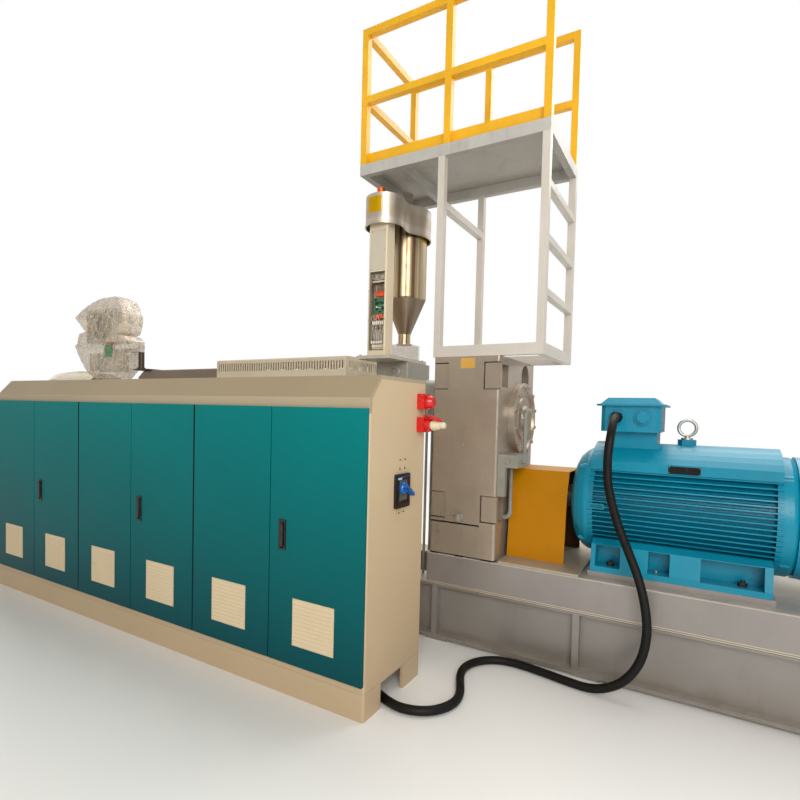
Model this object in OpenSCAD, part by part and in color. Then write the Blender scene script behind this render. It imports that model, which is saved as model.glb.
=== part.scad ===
// Plastic extruder with its drive, gearbox, barrel, feeder, service platform and control cabinets.
// X runs along the screw towards the motor, Y points away from the operator and Z is up.
// Inside the model X is 0 at the gearbox face that carries the input shaft, and Y is 0 on the screw's axis.

/* [Base frame] */
// Width of the base frame
base_w = 900; // [860:10:1000]
// Height of the lower beams
lower_h = 410; // [360:10:460]
// Height of the box under gearbox and motor
upper_h = 210; // [180:10:240]
// Length of the base past the motor
base_over = 90; // [60:10:200]
// Width of the beams' flanges
flange_w = 200; // [160:10:240]
// Thickness of the beams' flanges
flange_t = 24; // [16:2:30]
// Depth of the web behind the flange edge
web_in = 60; // [40:5:90]
// Thickness of webs and stiffeners
web_t = 20; // [14:2:26]
// Height of the soles under the beams
sole_t = 15; // [10:1:20]
// Length of one sole
sole_l = 155; // [120:5:200]

/* [Gearbox] */
// Length of the gearbox along the screw
gear_l = 485; // [440:5:560]
// Depth of the gearbox across the screw
gear_w = 800; // [740:10:840]
// Height of the gearbox housing
gear_h = 1155; // [1100:5:1200]
// Height of the cast plinth under the gearbox
plinth_h = 225; // [200:5:260]
// Height of the input shaft above the base
input_h = 436; // [420:2:450]
// Height of the screw's axis above the base
screw_h = 1100; // [1060:5:1140]
// Radius of the large bearing cover
cover_r = 262; // [230:2:280]
// Thickness of the large bearing cover
cover_t = 46; // [36:2:60]
// Distance of the large bearing cover's centre below the screw's axis
cover_drop = 140; // [120:5:160]
// Width of the recesses at the housing's corners
recess_w = 105; // [90:5:120]
// Height of the recesses at the housing's corners
recess_h = 185; // [160:5:200]
// Depth of the recesses at the housing's corners
recess_t = 14; // [8:1:20]
// Outer diameter of the oil pipes
pipe_d = 26; // [20:1:30]

/* [Coupling] */
// Gap between the gearbox and the coupling guard
guard_gap = 25; // [20:1:40]
// Length of the coupling guard
guard_l = 385; // [360:5:410]
// Width of the coupling guard at its foot
guard_w = 540; // [500:4:580]
// Width of the coupling guard at its fold
guard_fold_w = 456; // [420:4:480]
// Height of the guard's fold above the plate
guard_side_h = 448; // [430:4:470]
// Height of the coupling guard above the plate
guard_h = 600; // [580:5:640]
// Width of the guard's flat top
guard_top_w = 340; // [280:2:360]
// Sheet thickness of the guard
guard_t = 4; // [3:0.5:6]
// Thickness of the plate under the guard
guard_plate_t = 15; // [10:1:20]
// Diameter of the coupling halves
coupling_d = 300; // [260:4:320]
// Diameter of the shafts' hubs
hub_d = 158; // [140:2:170]

/* [Motor] */
// Height of the motor's shaft above its feet
shaft_h = 400; // [380:5:410]
// Gap between the guard and the motor's end shield
shield_gap = 6; // [6:1:12]
// Length of the end shield at the shaft
shield_l = 145; // [130:5:160]
// Length of the finned frame
motor_l = 1000; // [900:10:1060]
// Length of the end shield at the fan
rear_l = 70; // [60:5:90]
// Length of the fan cowl
cowl_l = 395; // [340:5:420]
// Outer radius of the frame over its fins
motor_r = 354; // [340:2:360]
// Radius of the smooth casing on top of the frame
casing_r = 391; // [380:1:400]
// Height of one cooling fin
fin_h = 46; // [36:2:54]
// Thickness of one cooling fin
fin_t = 7; // [6:0.5:9]
// Distance between cooling fins
fin_pitch = 31; // [28:1:36]
// Thickness of the motor's feet
foot_t = 35; // [30:1:40]
// Spacing of the foot bolts along the shaft
foot_x = 685; // [630:5:710]
// Width of the motor's feet over their outer edges
foot_w = 760; // [740:5:780]
// Length of the terminal box
term_l = 346; // [320:2:370]
// Depth of the terminal box
term_w = 440; // [400:5:460]
// Height of the terminal box without its lid
term_h = 162; // [150:2:180]
// Height of the terminal box's lid
lid_h = 52; // [36:2:60]
// Height of the neck under the terminal box
neck_h = 74; // [60:1:90]
// Diameter of the cable glands
gland_d = 90; // [76:2:96]
// Distance between the cable glands
gland_pitch = 146; // [120:2:150]

/* [Barrel] */
// Length of the feed section between gearbox and barrel
feed_l = 715; // [680:5:760]
// Length of the barrel
barrel_l = 2940; // [2900:10:3000]
// Diameter of the barrel
barrel_d = 250; // [220:5:270]
// Diameter over the heater bands
heater_d = 330; // [310:5:350]
// Distance between the heater bands
heater_pitch = 390; // [340:10:440]
// Width of the barrel covers
cover_w = 632; // [600:4:660]
// Height of the rear cover above the screw's axis
rear_cover_up = 335; // [320:5:350]
// Height of the front cover above the screw's axis
front_cover_up = 262; // [250:2:280]
// Depth of the covers below the screw's axis
cover_down = 330; // [310:5:350]
// Length of the slotted rear cover
rear_cover_l = 1517; // [1450:1:1560]
// Sheet thickness of the covers
cover_sheet = 6; // [4:1:8]
// Distance between the slots of the rear cover
slot_pitch = 29; // [24:1:34]
// Width of one slot
slot_w = 13; // [8:1:16]
// Height of one slot
slot_h = 72; // [60:2:80]
// Length of the die head
head_l = 2110; // [2000:10:2200]
// Diameter of the die's body
head_d = 524; // [500:4:560]

/* [Feeder] */
// Diameter of the hopper
hopper_d = 336; // [310:2:350]
// Height of the hopper's straight wall below the cap
hopper_h = 480; // [440:5:520]
// Height of the hopper's cone
cone_h = 275; // [250:5:300]
// Width of the hopper's outlet
outlet_d = 100; // [90:2:110]
// Size of the clear box under the hopper
sight_w = 190; // [170:2:200]
// Height of the clear box
sight_h = 130; // [110:5:150]
// Height of the pipe between hopper and sight box
outlet_l = 70; // [50:5:90]
// Radius of the cap's round ends
cap_r = 197; // [185:1:210]
// Radius of the cap's end over the column
cap_low_r = 148; // [140:1:156]
// Radius of the hollow sides of the cap
waist_r = 180; // [150:10:250]
// Height of the cap
cap_h = 225; // [200:5:240]
// Distance from the hopper's axis to the column's axis
column_off = 375; // [360:5:390]
// Width of the column
column_w = 160; // [150:2:170]
// Depth of the column
column_d = 115; // [100:5:130]
// Outer diameter of the suction hose
hose_d = 92; // [80:2:100]

/* [Platform] */
// Length of the platform's frame over the gearbox
plat_l = 775; // [740:5:800]
// Overhang of the deck over the feeder
plat_over = 660; // [620:5:700]
// Height of the deck's underside above the base
deck_h = 2770; // [2740:5:2840]
// Width of the platform's square tubes
tube_w = 50; // [45:5:60]
// Height of the platform's lower frame
plat_sill = 75; // [60:5:90]
// Height of the deck's beams
beam_h = 75; // [60:5:90]
// Height of the guard rail above the deck
rail_h = 1000; // [950:10:1100]
// Width of the guard rail's square tubes
rail_w = 50; // [40:5:60]
// Height of the toe boards
toe_h = 100; // [80:10:120]
// Distance between the rungs
rung_pitch = 340; // [320:5:350]
// Height of the rungs' tubes
rung_h = 45; // [35:5:60]

/* [Cabinets] */
// Width of one cabinet door with its gap
door_pitch = 650; // [600:10:700]
// Number of double-door cabinets
bays = 3; // [1:1:3]
// Depth of the cabinets
cab_d = 600; // [560:10:640]
// Height of the cabinets
cab_h = 1800; // [1760:10:1840]
// Height of the plinth under the doors
cab_plinth = 188; // [180:2:210]
// Height of the fascia's front over the doors
cab_fascia = 55; // [50:1:70]
// Height and depth of the sloping edge
cab_slope = 110; // [90:5:130]
// Thickness of the cabinet's folded walls
wall_t = 20; // [16:1:24]
// Thickness of a door
door_t = 20; // [18:1:26]
// Sheet thickness of a door
door_sheet = 3; // [2:0.5:5]
// Gap round a door
door_gap = 7; // [6:0.5:9]
// Width of a door's vent
vent_w = 285; // [260:5:300]
// Height of a door's vent
vent_h = 262; // [240:2:280]
// How far a vent's slats stand out
vent_out = 7; // [5:0.5:8]
// Number of slats in a vent
slats = 11; // [8:1:13]

/* [Operator panel] */
// Width of the operator's panel
panel_w = 500; // [440:10:520]
// Depth of the operator's panel
panel_d = 220; // [200:5:230]
// Height of the operator's panel
panel_h = 360; // [320:10:370]
// Height of the post that carries the panel
post_h = 200; // [180:5:230]

/* [Hidden] */
$fn = 64;

// Clearance between pieces that rest on each other without being one
seat = 0.3;
// Running clearance of the drive shaft in its bores
shaft_fit = 0.05;

// Heights
base_top = lower_h + upper_h;
gear_z = base_top + plinth_h;
gear_top = gear_z + gear_h;
input_z = base_top + input_h;
screw_z = base_top + screw_h;
deck_z = base_top + deck_h;
deck_top = deck_z + beam_h;

// Places along the machine
motor_x = guard_gap + guard_l + shield_gap;
frame_x = motor_x + shield_l;
rear_x = frame_x + motor_l;
cowl_x = rear_x + rear_l;
motor_end = cowl_x + cowl_l;
base_end = motor_end + base_over;
feed_x = -gear_l;
barrel_x = feed_x - feed_l;
barrel_end = barrel_x - barrel_l;
head_end = barrel_end - head_l;
hopper_in = 505;
hopper_x = feed_x - hopper_in;
column_y = -column_off;
plate_t = 25;
feed_top = gear_top + 5;
feeder_z = feed_top + plate_t;
cap_z = feeder_z + sight_h + outlet_l + 15 + cone_h + hopper_h;
plat_right = 280;

// Places across the machine
gear_front = -base_w / 2;
gear_back = gear_front + gear_w;
cab_x = -288;
cab_front = -1556;
cab_back = cab_front + cab_d;
cab_l = 2 * bays * door_pitch;
cab_left = cab_x - cab_l;
door_z = cab_plinth + 3;
door_top = cab_h - cab_slope - cab_fascia - 10;
door_h = door_top - door_z;
door_back = cab_front - seat;
door_front = door_back - door_t;
handle_out = 14;

// Operator's panel and the frame's origin
post_x = barrel_end + 5;
panel_x = post_x - 510;
foot_front = door_front - handle_out;
centre_x = (base_end + head_end) / 2;
centre_y = (foot_front + base_w / 2) / 2;

module placed() translate([-centre_x, -centre_y, 0]) children();

// Shared forms

// A box between two corners
module block(low, high) translate(low) cube(high - low);

// A cylinder along X from x over a length
module rod_x(x, y, z, r, l, n = 64) translate([x, y, z]) rotate([0, 90, 0]) cylinder(r = r, h = l, $fn = n);

// A cylinder along Y from y over a length
module rod_y(x, y, z, r, l, n = 64) translate([x, y, z]) rotate([-90, 0, 0]) cylinder(r = r, h = l, $fn = n);

// A profile drawn in Y and Z and stretched along X
module prism_x(x, l, points) translate([x, 0, 0]) rotate([90, 0, 90]) linear_extrude(l) polygon(points);

// A profile drawn in X and Z and stretched along Y
module prism_y(y, l, points) translate([0, y + l, 0]) rotate([90, 0, 0]) linear_extrude(l) polygon(points);

// A profile of radius and height turned about an axis along X
module turned_x(x, y, z, points, n = 96) translate([x, y, z]) rotate([0, 90, 0])
  rotate_extrude($fn = n) polygon(points);

// The child and its mirror image on the other side of the screw
module both_sides() {
  children();
  mirror([0, 1, 0]) children();
}

// A quarter bend of round bar in the plane of X and Y
module elbow(bend, r) intersection() {
  rotate_extrude($fn = 48) translate([bend, 0]) circle(r = r, $fn = 24);
  translate([0, 0, -r - 1]) cube([bend + r + 1, bend + r + 1, 2 * r + 2]);
}

// An upright rounded rectangle in the plane of X and Z
module rounded(w, h, r) {
  translate([r, 0]) square([w - 2 * r, h]);
  translate([0, r]) square([w, h - 2 * r]);
  for (x = [r, w - r]) for (y = [r, h - r]) translate([x, y]) circle(r = r, $fn = 32);
}

// A round-headed hexagon bolt that points along X from x over a length
module bolt_x(x, y, z, r, l) rod_x(x, y, z, r, l, 6);

// Base frame

web_y = base_w / 2 - web_in - web_t;
web_low = sole_t + flange_t;
web_high = lower_h - flange_t;
sole_x = [barrel_end, (barrel_end + barrel_x) / 2, feed_x - 10, motor_x + 110, base_end - sole_l];
tie_x = [barrel_end + 10, (barrel_end + barrel_x) / 2, feed_x + 40, motor_x + 110, base_end - 60];
stiff_t = 40;

module base_beams() color("lightslategray") placed() both_sides() {
  prism_x(barrel_end, base_end - barrel_end, [
    [base_w / 2 - flange_w, sole_t], [base_w / 2, sole_t], [base_w / 2, web_low],
    [web_y + web_t, web_low], [web_y + web_t, web_high], [base_w / 2, web_high],
    [base_w / 2, lower_h], [base_w / 2 - flange_w, lower_h], [base_w / 2 - flange_w, web_high],
    [web_y, web_high], [web_y, web_low], [base_w / 2 - flange_w, web_low]
  ]);
  for (x = sole_x)
    block([x, base_w / 2 - flange_w + 10, 0], [x + sole_l, base_w / 2, sole_t + 1]);
}

module base_ties() color("lightslategray") placed()
  for (x = tie_x) {
    block([x, -web_y + seat, web_low + seat], [x + web_t, web_y - seat, web_high - seat]);
    both_sides() block([x - (stiff_t - web_t) / 2, web_y + web_t + seat, web_low + seat],
      [x + (stiff_t + web_t) / 2, base_w / 2 - 4, web_high - seat]);
  }

// Height of the motor's feet, and the rails under them
foot_z = input_z - shaft_h;
rail_in = 205;
box_over = 16;
edge = 6;

module base_box() color("lightslategray") placed() {
  prism_x(feed_x - box_over, base_end - feed_x + box_over, [
    [-base_w / 2, lower_h + seat], [-base_w / 2, base_top - edge], [-base_w / 2 + edge, base_top],
    [base_w / 2 - edge, base_top], [base_w / 2, base_top - edge], [base_w / 2, lower_h + seat]
  ]);
  both_sides()
    block([frame_x + 20, rail_in, base_top - 1], [rear_x - 20, foot_w / 2 - 6, foot_z - seat]);
}

// Gearbox

cast_r = 20;
shim_gap = 10;

module cast_block(z, h)
  translate([feed_x, gear_front, z]) linear_extrude(h) rounded(gear_l, gear_w, cast_r);

module gearbox_plinth() color("darkgray") placed()
  difference() {
    cast_block(base_top + seat, plinth_h - seat);
    for (x = [feed_x + 70, feed_x + gear_l - 230])
      block([x, gear_front - 1, base_top - 1], [x + 130, gear_front + 60, base_top + shim_gap]);
  }

module gearbox_housing() color("silver") placed()
  difference() {
    cast_block(gear_z + seat, gear_h - seat);
    // Shallow recesses in the long sides, beside the four corners, at the top and at the foot
    for (x = [feed_x - 1, -recess_w - 9])
      for (z = [gear_z + 30, gear_top - 40 - recess_h])
        for (y = [gear_front - 1, gear_back - recess_t])
          block([x, y, z], [x + recess_w + 10, y + recess_t + 1, z + recess_h]);
    // Lifting pockets in the ends
    for (x = [feed_x - 1, -54]) {
      block([x, gear_front + 44, gear_top - 207], [x + 55, gear_front + 172, gear_top - 54]);
      block([x, gear_front + 50, gear_z + 35], [x + 55, gear_front + 150, gear_z + 205]);
      block([x, gear_back - 150, gear_z + 35], [x + 55, gear_back - 50, gear_z + 205]);
      block([x, 25, gear_top - 170], [x + 55, 205, gear_top - 110]);
      rod_x(x, 115, gear_top - 110, 90, 55);
    }
    // Joint between housing and plinth, open along the front
    block([feed_x - 1, gear_front - 1, gear_z - 1], [-115, gear_front + 12, gear_z + shim_gap]);
    rod_x(-60, 0, input_z, hub_d / 2 + shaft_fit, 70, 96);
  }

cover_z = screw_z - cover_drop;
cover_bolts = 12;

module bearing_cover() color("gainsboro") placed() {
  turned_x(seat, 0, cover_z, [
    [0, 0], [cover_r, 0], [cover_r, cover_t - 6], [cover_r - 6, cover_t], [cover_r - 36, cover_t],
    [cover_r - 44, cover_t - 18], [cover_r * 0.62, cover_t - 18], [cover_r * 0.58, cover_t - 4],
    [cover_r * 0.38, cover_t - 4], [cover_r * 0.34, cover_t + 18], [0, cover_t + 18]
  ]);
  for (i = [0:cover_bolts - 1]) {
    a = (i + 0.5) * 360 / cover_bolts;
    bolt_x(cover_t - 1, (cover_r - 20) * cos(a), cover_z + (cover_r - 20) * sin(a), 13, 12);
  }
}

pipe_r = pipe_d / 2;
pipe_bend = 40;
// Elbows are fittings, a little thicker than their pipe
fitting = 3;
block_low = cover_z - 320;
block_high = block_low + 85;
block_y = -guard_w / 2 - 170;
drain_y = -guard_w / 2 - 32;

module oil_pipes() color("gainsboro") placed() {
  // Pipe from the bearing cover round to the manifold
  x0 = cover_t + 18 + 2 * seat;
  x1 = x0 + 10 + pipe_bend;
  z1 = cover_z + 60;
  y1 = -225 + pipe_bend;
  rod_x(x0, -60, z1, pipe_r, 13);
  translate([x0 + 10, -60 - pipe_bend, z1]) elbow(pipe_bend, pipe_r + fitting);
  rod_y(x1, y1 - 3, z1, pipe_r, -54 - pipe_bend - y1);
  translate([x1, y1, z1 - pipe_bend]) rotate([90, 0, -90]) elbow(pipe_bend, pipe_r + fitting);
  translate([x1, y1 - pipe_bend, block_high - 1]) cylinder(r = pipe_r, h = z1 - pipe_bend + 4 - block_high);
  // Manifold with its plugs
  block([seat, block_y, block_low], [x1 + 20, y1 - pipe_bend + 20, block_high]);
  rod_y(70, block_y - 14, block_low + 42, 19, 15, 6);
  bolt_x(x1 + 19, block_y + 110, block_low + 42, 19, 14);
  block([seat, block_y, block_low - 195], [52, block_y + 40, block_low + 1]);
  // Drain pipe down to the foot of the housing
  z2 = gear_z + 101;
  translate([50, drain_y, z2 - 3]) cylinder(r = pipe_r, h = block_low - z2 + 4);
  translate([50 - pipe_bend, drain_y, z2]) rotate([-90, 0, 0]) elbow(pipe_bend, pipe_r + fitting);
  rod_x(seat, drain_y, z2 - pipe_bend, pipe_r, 54 - pipe_bend);
  // Drain tap on the front
  rod_y(-255, gear_front - 50, gear_z + 52, 13, 50 - seat);
  rod_y(-255, gear_front - 12, gear_z + 52, 22, 12 - seat, 6);
  translate([-255, gear_front - 36, gear_z + 30]) cylinder(r = 15, h = 46);
  block([-295, gear_front - 42, gear_z + 74], [-240, gear_front - 30, gear_z + 80]);
  // Cooling pipes of the feed section
  z3 = screw_z - 81;
  for (x = [feed_x - 75, feed_x - 120]) {
    translate([x, -300, lower_h + seat]) cylinder(r = 10, h = z3 + 3 - lower_h);
    translate([x, -260, z3]) rotate([90, 0, -90]) elbow(40, 10 + fitting);
    rod_y(x, -263, z3 + 40, 10, 263 - sqrt(feed_r * feed_r - 961) - seat);
  }
}

// Coupling

half_l = 120;
half_x = [guard_gap + 40, guard_gap + 55 + half_l];

module drive_coupling() color("lightgray") placed() {
  rod_x(-58, 0, input_z, hub_d / 2, motor_x + 118, 96);
  for (x = half_x)
    turned_x(x, 0, input_z, [[0, 0], [hub_d / 2 + 20, 0], [hub_d / 2 + 26, 40], [coupling_d / 2 - 4, 40],
      [coupling_d / 2, 44], [coupling_d / 2, half_l - 44], [coupling_d / 2 - 4, half_l - 40],
      [hub_d / 2 + 26, half_l - 40], [hub_d / 2 + 20, half_l], [0, half_l]]);
  pin_r = coupling_d / 2 - 22;
  for (a = [0:45:315])
    bolt_x(half_x[0] + 24, pin_r * cos(a), input_z + pin_r * sin(a), 11, half_x[1] - half_x[0] + half_l - 48);
}

guard_z = base_top + guard_plate_t + 2 * seat;
guard_foot = 44;
guard_half = [
  [guard_w / 2 - guard_foot, 0], [guard_w / 2, 0], [guard_fold_w / 2, guard_side_h],
  [guard_top_w / 2, guard_h]
];
guard_inner = [
  [guard_top_w / 2 - 2, guard_h - guard_t], [guard_fold_w / 2 - guard_t, guard_side_h - 1],
  [guard_w / 2 - guard_t - 1, 5], [guard_w / 2 - guard_foot, 5]
];
guard_side = concat(guard_half, [[0, guard_h], [0, guard_h - guard_t]], guard_inner);

module coupling_guard() color("goldenrod") placed() translate([0, 0, guard_z]) {
  both_sides() prism_x(guard_gap, guard_l, guard_side);
}

module guard_plate() color("gainsboro") placed() {
  low = base_top + seat;
  block([guard_gap, -base_w / 2 + 4, low], [frame_x - 21, base_w / 2 - 4, low + guard_plate_t]);
}

// Motor

axis_top = input_z + casing_r;
fin_half = 218;
fin_count = floor(2 * fin_half / fin_pitch);
eye_x = frame_x + 525;
eye_z = axis_top + 33;
neck_x = [frame_x + 94, frame_x + 364];
window_x = [frame_x + 61, frame_x + 357, frame_x + 627];
window_w = [143, 114, 300];
window_h = 128;
foot_in = 145;
casing = [[275, 222], for (a = [45.5:7.4:134.5]) [casing_r * cos(a), casing_r * sin(a)], [-275, 222]];

module motor_section() {
  circle(r = motor_r - fin_h, $fn = 96);
  intersection() {
    circle(r = motor_r, $fn = 96);
    for (i = [0:fin_count])
      translate([-motor_r, -fin_half + i * fin_pitch - fin_t / 2]) square([2 * motor_r, fin_t]);
  }
  polygon(casing);
}

// Cast side wall between the fins and the foot, with a window over each foot bolt
module motor_foot() difference() {
  prism_x(frame_x + 35, motor_l - 70, [
    [foot_w / 2 - 190, foot_z], [foot_w / 2, foot_z], [foot_w / 2, input_z - motor_r - 4],
    [foot_w / 2 - 26, input_z - 234], [foot_w / 2 - 84, input_z - 208], [foot_w / 2 - 190, input_z - 208]
  ]);
  for (k = [0:2])
    block([window_x[k], foot_w / 2 - 120, foot_z + foot_t],
      [window_x[k] + window_w[k], foot_w / 2 + 1, foot_z + foot_t + window_h]);
}

module motor_frame() color("steelblue") placed() {
  translate([frame_x, 0, input_z]) rotate([90, 0, 90]) linear_extrude(motor_l) motor_section();
  for (x = [frame_x, rear_x - 28]) rod_x(x, 0, input_z, motor_r - 8, 28, 96);
  both_sides() {
    motor_foot();
    for (x = [frame_x + foot_in, frame_x + foot_in + foot_x]) {
      translate([x, foot_w / 2 - 60, foot_z + foot_t - 1]) cylinder(r = 24, h = 24, $fn = 6);
      translate([x, foot_w / 2 - 60, foot_z + foot_t - 1]) cylinder(r = 12, h = 36);
    }
    // Raised oval with a slot at the height of the shaft
    difference() {
      translate([frame_x + 4, motor_r + 4, input_z - 18]) rotate([90, 0, 0])
        linear_extrude(50) rounded(100, 36, 17);
      translate([frame_x + 16, motor_r + 5, input_z - 8]) rotate([90, 0, 0])
        linear_extrude(12) rounded(76, 16, 7.5);
    }
  }
  block([neck_x[0], -150, axis_top - 60], [neck_x[1], 150, axis_top + neck_h]);
  block([neck_x[1] - 1, -140, axis_top - 50], [neck_x[1] + 34, -104, axis_top - 2]);
  translate([eye_x, 0, axis_top - 30]) cylinder(r = 52, h = eye_z - axis_top + 30, $fn = 6);
}

shield_r = motor_r - 9;
lug_r = 22;

// Points of the domed end shield from its bore to its rim, as radius and depth
function dome(l) = [[120, 0], [134, 9], [190, 14], [246, 29], [290, 50], [322, 82], [shield_r - 4, 112],
  [shield_r, 126], [shield_r, l]];

module motor_shield() color("steelblue") placed() {
  bore = hub_d / 2 + shaft_fit;
  turned_x(motor_x, 0, input_z, concat([[bore, 0]], dome(shield_l - seat), [[bore, shield_l - seat]]));
  for (a = [45:90:315]) {
    y = (shield_r - lug_r) * cos(a);
    z = input_z + (shield_r - lug_r) * sin(a);
    rod_x(frame_x - 54, y, z, lug_r, 54 - seat);
    bolt_x(frame_x - 68, y, z, 15, 15);
  }
}

module motor_rear_shield() color("steelblue") placed() {
  turned_x(rear_x + seat, 0, input_z, [[0, 0], [shield_r, 0], [shield_r, rear_l - 26],
    [shield_r - 12, rear_l - seat], [0, rear_l - seat]]);
  for (a = [45:90:315]) {
    y = (shield_r - lug_r) * cos(a);
    z = input_z + (shield_r - lug_r) * sin(a);
    rod_x(rear_x + seat, y, z, lug_r + 6, 44);
  }
}

cowl_r = motor_r - 6;

module fan_cowl() color("steelblue") placed() {
  grooves = [for (k = [0:7]) 84 + k * 26];
  turned_x(cowl_x + seat, 0, input_z, concat(
    [[0, 0], [cowl_r, 0], [cowl_r, cowl_l - 60], [cowl_r - 10, cowl_l - 26], [cowl_r - 40, cowl_l - seat]],
    [for (k = [7:-1:0]) each [[grooves[k] + 14, cowl_l - seat], [grooves[k] + 14, cowl_l - 20],
      [grooves[k], cowl_l - 20], [grooves[k], cowl_l - seat]]],
    [[0, cowl_l - seat]]));
  for (a = [0:45:315])
    translate([motor_end - 22, 0, input_z]) rotate([a, 0, 0]) block([0, 70, -6], [22 - seat, 284, 6]);
  for (a = [20, 160, 200, 340])
    rod_x(cowl_x + 30, cowl_r * sin(a), input_z + cowl_r * cos(a), 5, 12);
}

term_x = frame_x + 40;
term_z = axis_top + neck_h;
term_c = 26;
lid_over = 28;

module term_outline(l, w, c) translate([0, -w / 2]) polygon([[c, 0], [l - c, 0], [l, c], [l, w - c],
  [l - c, w], [c, w], [0, w - c], [0, c]]);

module terminal_box() color("steelblue") placed()
  translate([term_x, 0, term_z + seat]) linear_extrude(term_h - seat) term_outline(term_l, term_w, term_c);

// Rim of the lid, then its four slopes up to the flat top
module terminal_lid() color("steelblue") placed() {
  low = term_z + term_h + seat;
  top = term_z + term_h + lid_h;
  half = term_w / 2 + lid_over;
  x0 = term_x - lid_over;
  x1 = term_x + term_l + lid_over;
  translate([x0, 0, low]) linear_extrude(11) term_outline(x1 - x0, 2 * half, term_c + 8);
  intersection() {
    prism_x(x0, x1 - x0, [[-half + 12, low + 10], [-half + 50, top], [half - 50, top],
      [half - 12, low + 10]]);
    prism_y(-half, 2 * half, [[x0 + 24, low + 10], [x0 + 66, top], [x1 - 66, top], [x1 - 24, low + 10]]);
  }
}

gland_x = term_x + 99;
gland_z = term_z + 90;
gland_l = 48;

// A profile of radius and height turned about an axis that points to the operator
module turned_front(x, y, z, points) translate([x, y, z]) rotate([90, 0, 0]) rotate_extrude() polygon(points);

module cable_gland() color("steelblue") placed() {
  r = gland_d / 2;
  front = -term_w / 2 - seat;
  turned_front(gland_x, front, gland_z, [[0, 0], [r, 0], [r, 20], [r - 4, 24], [r - 6, 24],
    [r - 6, 38], [r - 14, gland_l - seat], [0, gland_l - seat]]);
  rod_y(gland_x + gland_pitch, front - 24, gland_z, r, 24, 12);
  turned_front(gland_x + gland_pitch, front - 23, gland_z, [[0, 0], [r - 11, 0], [r - 11, 12],
    [r - 15, 16], [0, 16]]);
}

eye_r = 49;
eye_rod = 10;

// One eye bolt at the middle of the frame
module lifting_eyes() color("silver") placed() translate([eye_x, 0, eye_z + seat]) {
  cylinder(r = 34, h = 11);
  translate([0, 0, 10]) cylinder(r = 15, h = 12);
  translate([0, 0, 14 + eye_r + eye_rod]) rotate([90, 0, 0]) rotate_extrude() translate([eye_r, 0])
    circle(r = eye_rod, $fn = 24);
}

// Barrel and die head

feed_r = 150;
collar_r = 210;

module feed_section() color("gray") placed() {
  turned_x(barrel_x + seat, 0, screw_z, [[0, 0], [185, 0], [185, 50], [feed_r, 58], [feed_r, feed_l - 46],
    [collar_r, feed_l - 40], [collar_r, feed_l - 2 * seat], [0, feed_l - 2 * seat]]);
  for (i = [0:11])
    bolt_x(feed_x - 56, (collar_r - 26) * cos(i * 30 + 15), screw_z + (collar_r - 26) * sin(i * 30 + 15),
      15, 17);
  for (i = [0:7])
    bolt_x(barrel_x + 49, 168 * cos(i * 45), screw_z + 168 * sin(i * 45), 11, 14);
  intersection() {
    block([hopper_x - 150, -190, screw_z - 190], [hopper_x + 150, 190, feed_top]);
    translate([hopper_x - 150, -190, screw_z - 191]) linear_extrude(feed_top - screw_z + 192)
      rounded(300, 380, 18);
  }
  turned_front(hopper_x + 35, -189, screw_z + 208, [[30, 0], [48, 0], [48, 14], [42, 18], [30, 18]]);
}

heater_l = heater_pitch - 70;
heater_count = floor((barrel_l - 200) / heater_pitch);

module barrel() color("gray") placed() {
  rod_x(barrel_end + seat, 0, screw_z, barrel_d / 2, barrel_l - seat, 96);
  for (i = [0:heater_count - 1]) {
    turned_x(barrel_end + 160 + i * heater_pitch, 0, screw_z, [[0, 0], [heater_d / 2 - 8, 0],
      [heater_d / 2, 8], [heater_d / 2, heater_l - 8], [heater_d / 2 - 8, heater_l], [0, heater_l]]);
    // Terminal box of the band
    block([barrel_end + 250 + i * heater_pitch, 60, screw_z - 100 - heater_d / 2],
      [barrel_end + 370 + i * heater_pitch, 140, screw_z - 60]);
  }
}

cover_bevel = [100, 70];

// Sheet-metal cover that is open below, with a bevel at its left end where one is given
module cover_shell(x, l, up, bevel) {
  half = cover_w / 2;
  s = cover_sheet;
  top = screw_z + up;
  low = screw_z - cover_down;
  difference() {
    intersection() {
      prism_x(x, l, [[-half, low], [-half, top - 12], [-half + 12, top], [half - 12, top],
        [half, top - 12], [half, low]]);
      prism_y(-half, cover_w, [[x, low], [x, top - bevel[1] - 1], [x + bevel[0] + 1, top], [x + l, top],
        [x + l, low]]);
    }
    intersection() {
      block([x + s, -half + s, low - 1], [x + l - s, half - s, top - s]);
      prism_y(-half, cover_w, [[x + s, low - 1], [x + s, top - bevel[1] - 1 - s],
        [x + bevel[0] + 1 + s, top - s], [x + l - s, top - s], [x + l - s, low - 1]]);
    }
    rod_x(x - 1, 0, screw_z, feed_r + 50, l + 2, 96);
  }
}

rear_cover_x = barrel_x - 145 - rear_cover_l;
slot_x = rear_cover_x + rear_cover_l - 30 - slot_w;
slot_top = screw_z + rear_cover_up - 35;
slot_count = floor((rear_cover_l - 60) / slot_pitch);
end_slots = floor((cover_w - 60) / slot_pitch / 2);

module barrel_cover_rear() color("wheat") placed()
  difference() {
    cover_shell(rear_cover_x, rear_cover_l, rear_cover_up, [0, 0]);
    for (i = [0:slot_count])
      translate([slot_x - i * slot_pitch, -cover_w / 2 - 1, slot_top - slot_h])
        cube([slot_w, cover_w + 2, slot_h]);
    for (i = [-end_slots:end_slots])
      translate([rear_cover_x + rear_cover_l - cover_sheet - 1, i * slot_pitch - slot_w / 2, slot_top - slot_h])
        cube([cover_sheet + 2, slot_w, slot_h]);
  }

module barrel_cover_front() color("darkgray") placed()
  cover_shell(barrel_end + 60, rear_cover_x - seat - barrel_end - 60, front_cover_up, cover_bevel);

stand_w = 140;
stand_d = 190;
stand_in = 500;

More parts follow.
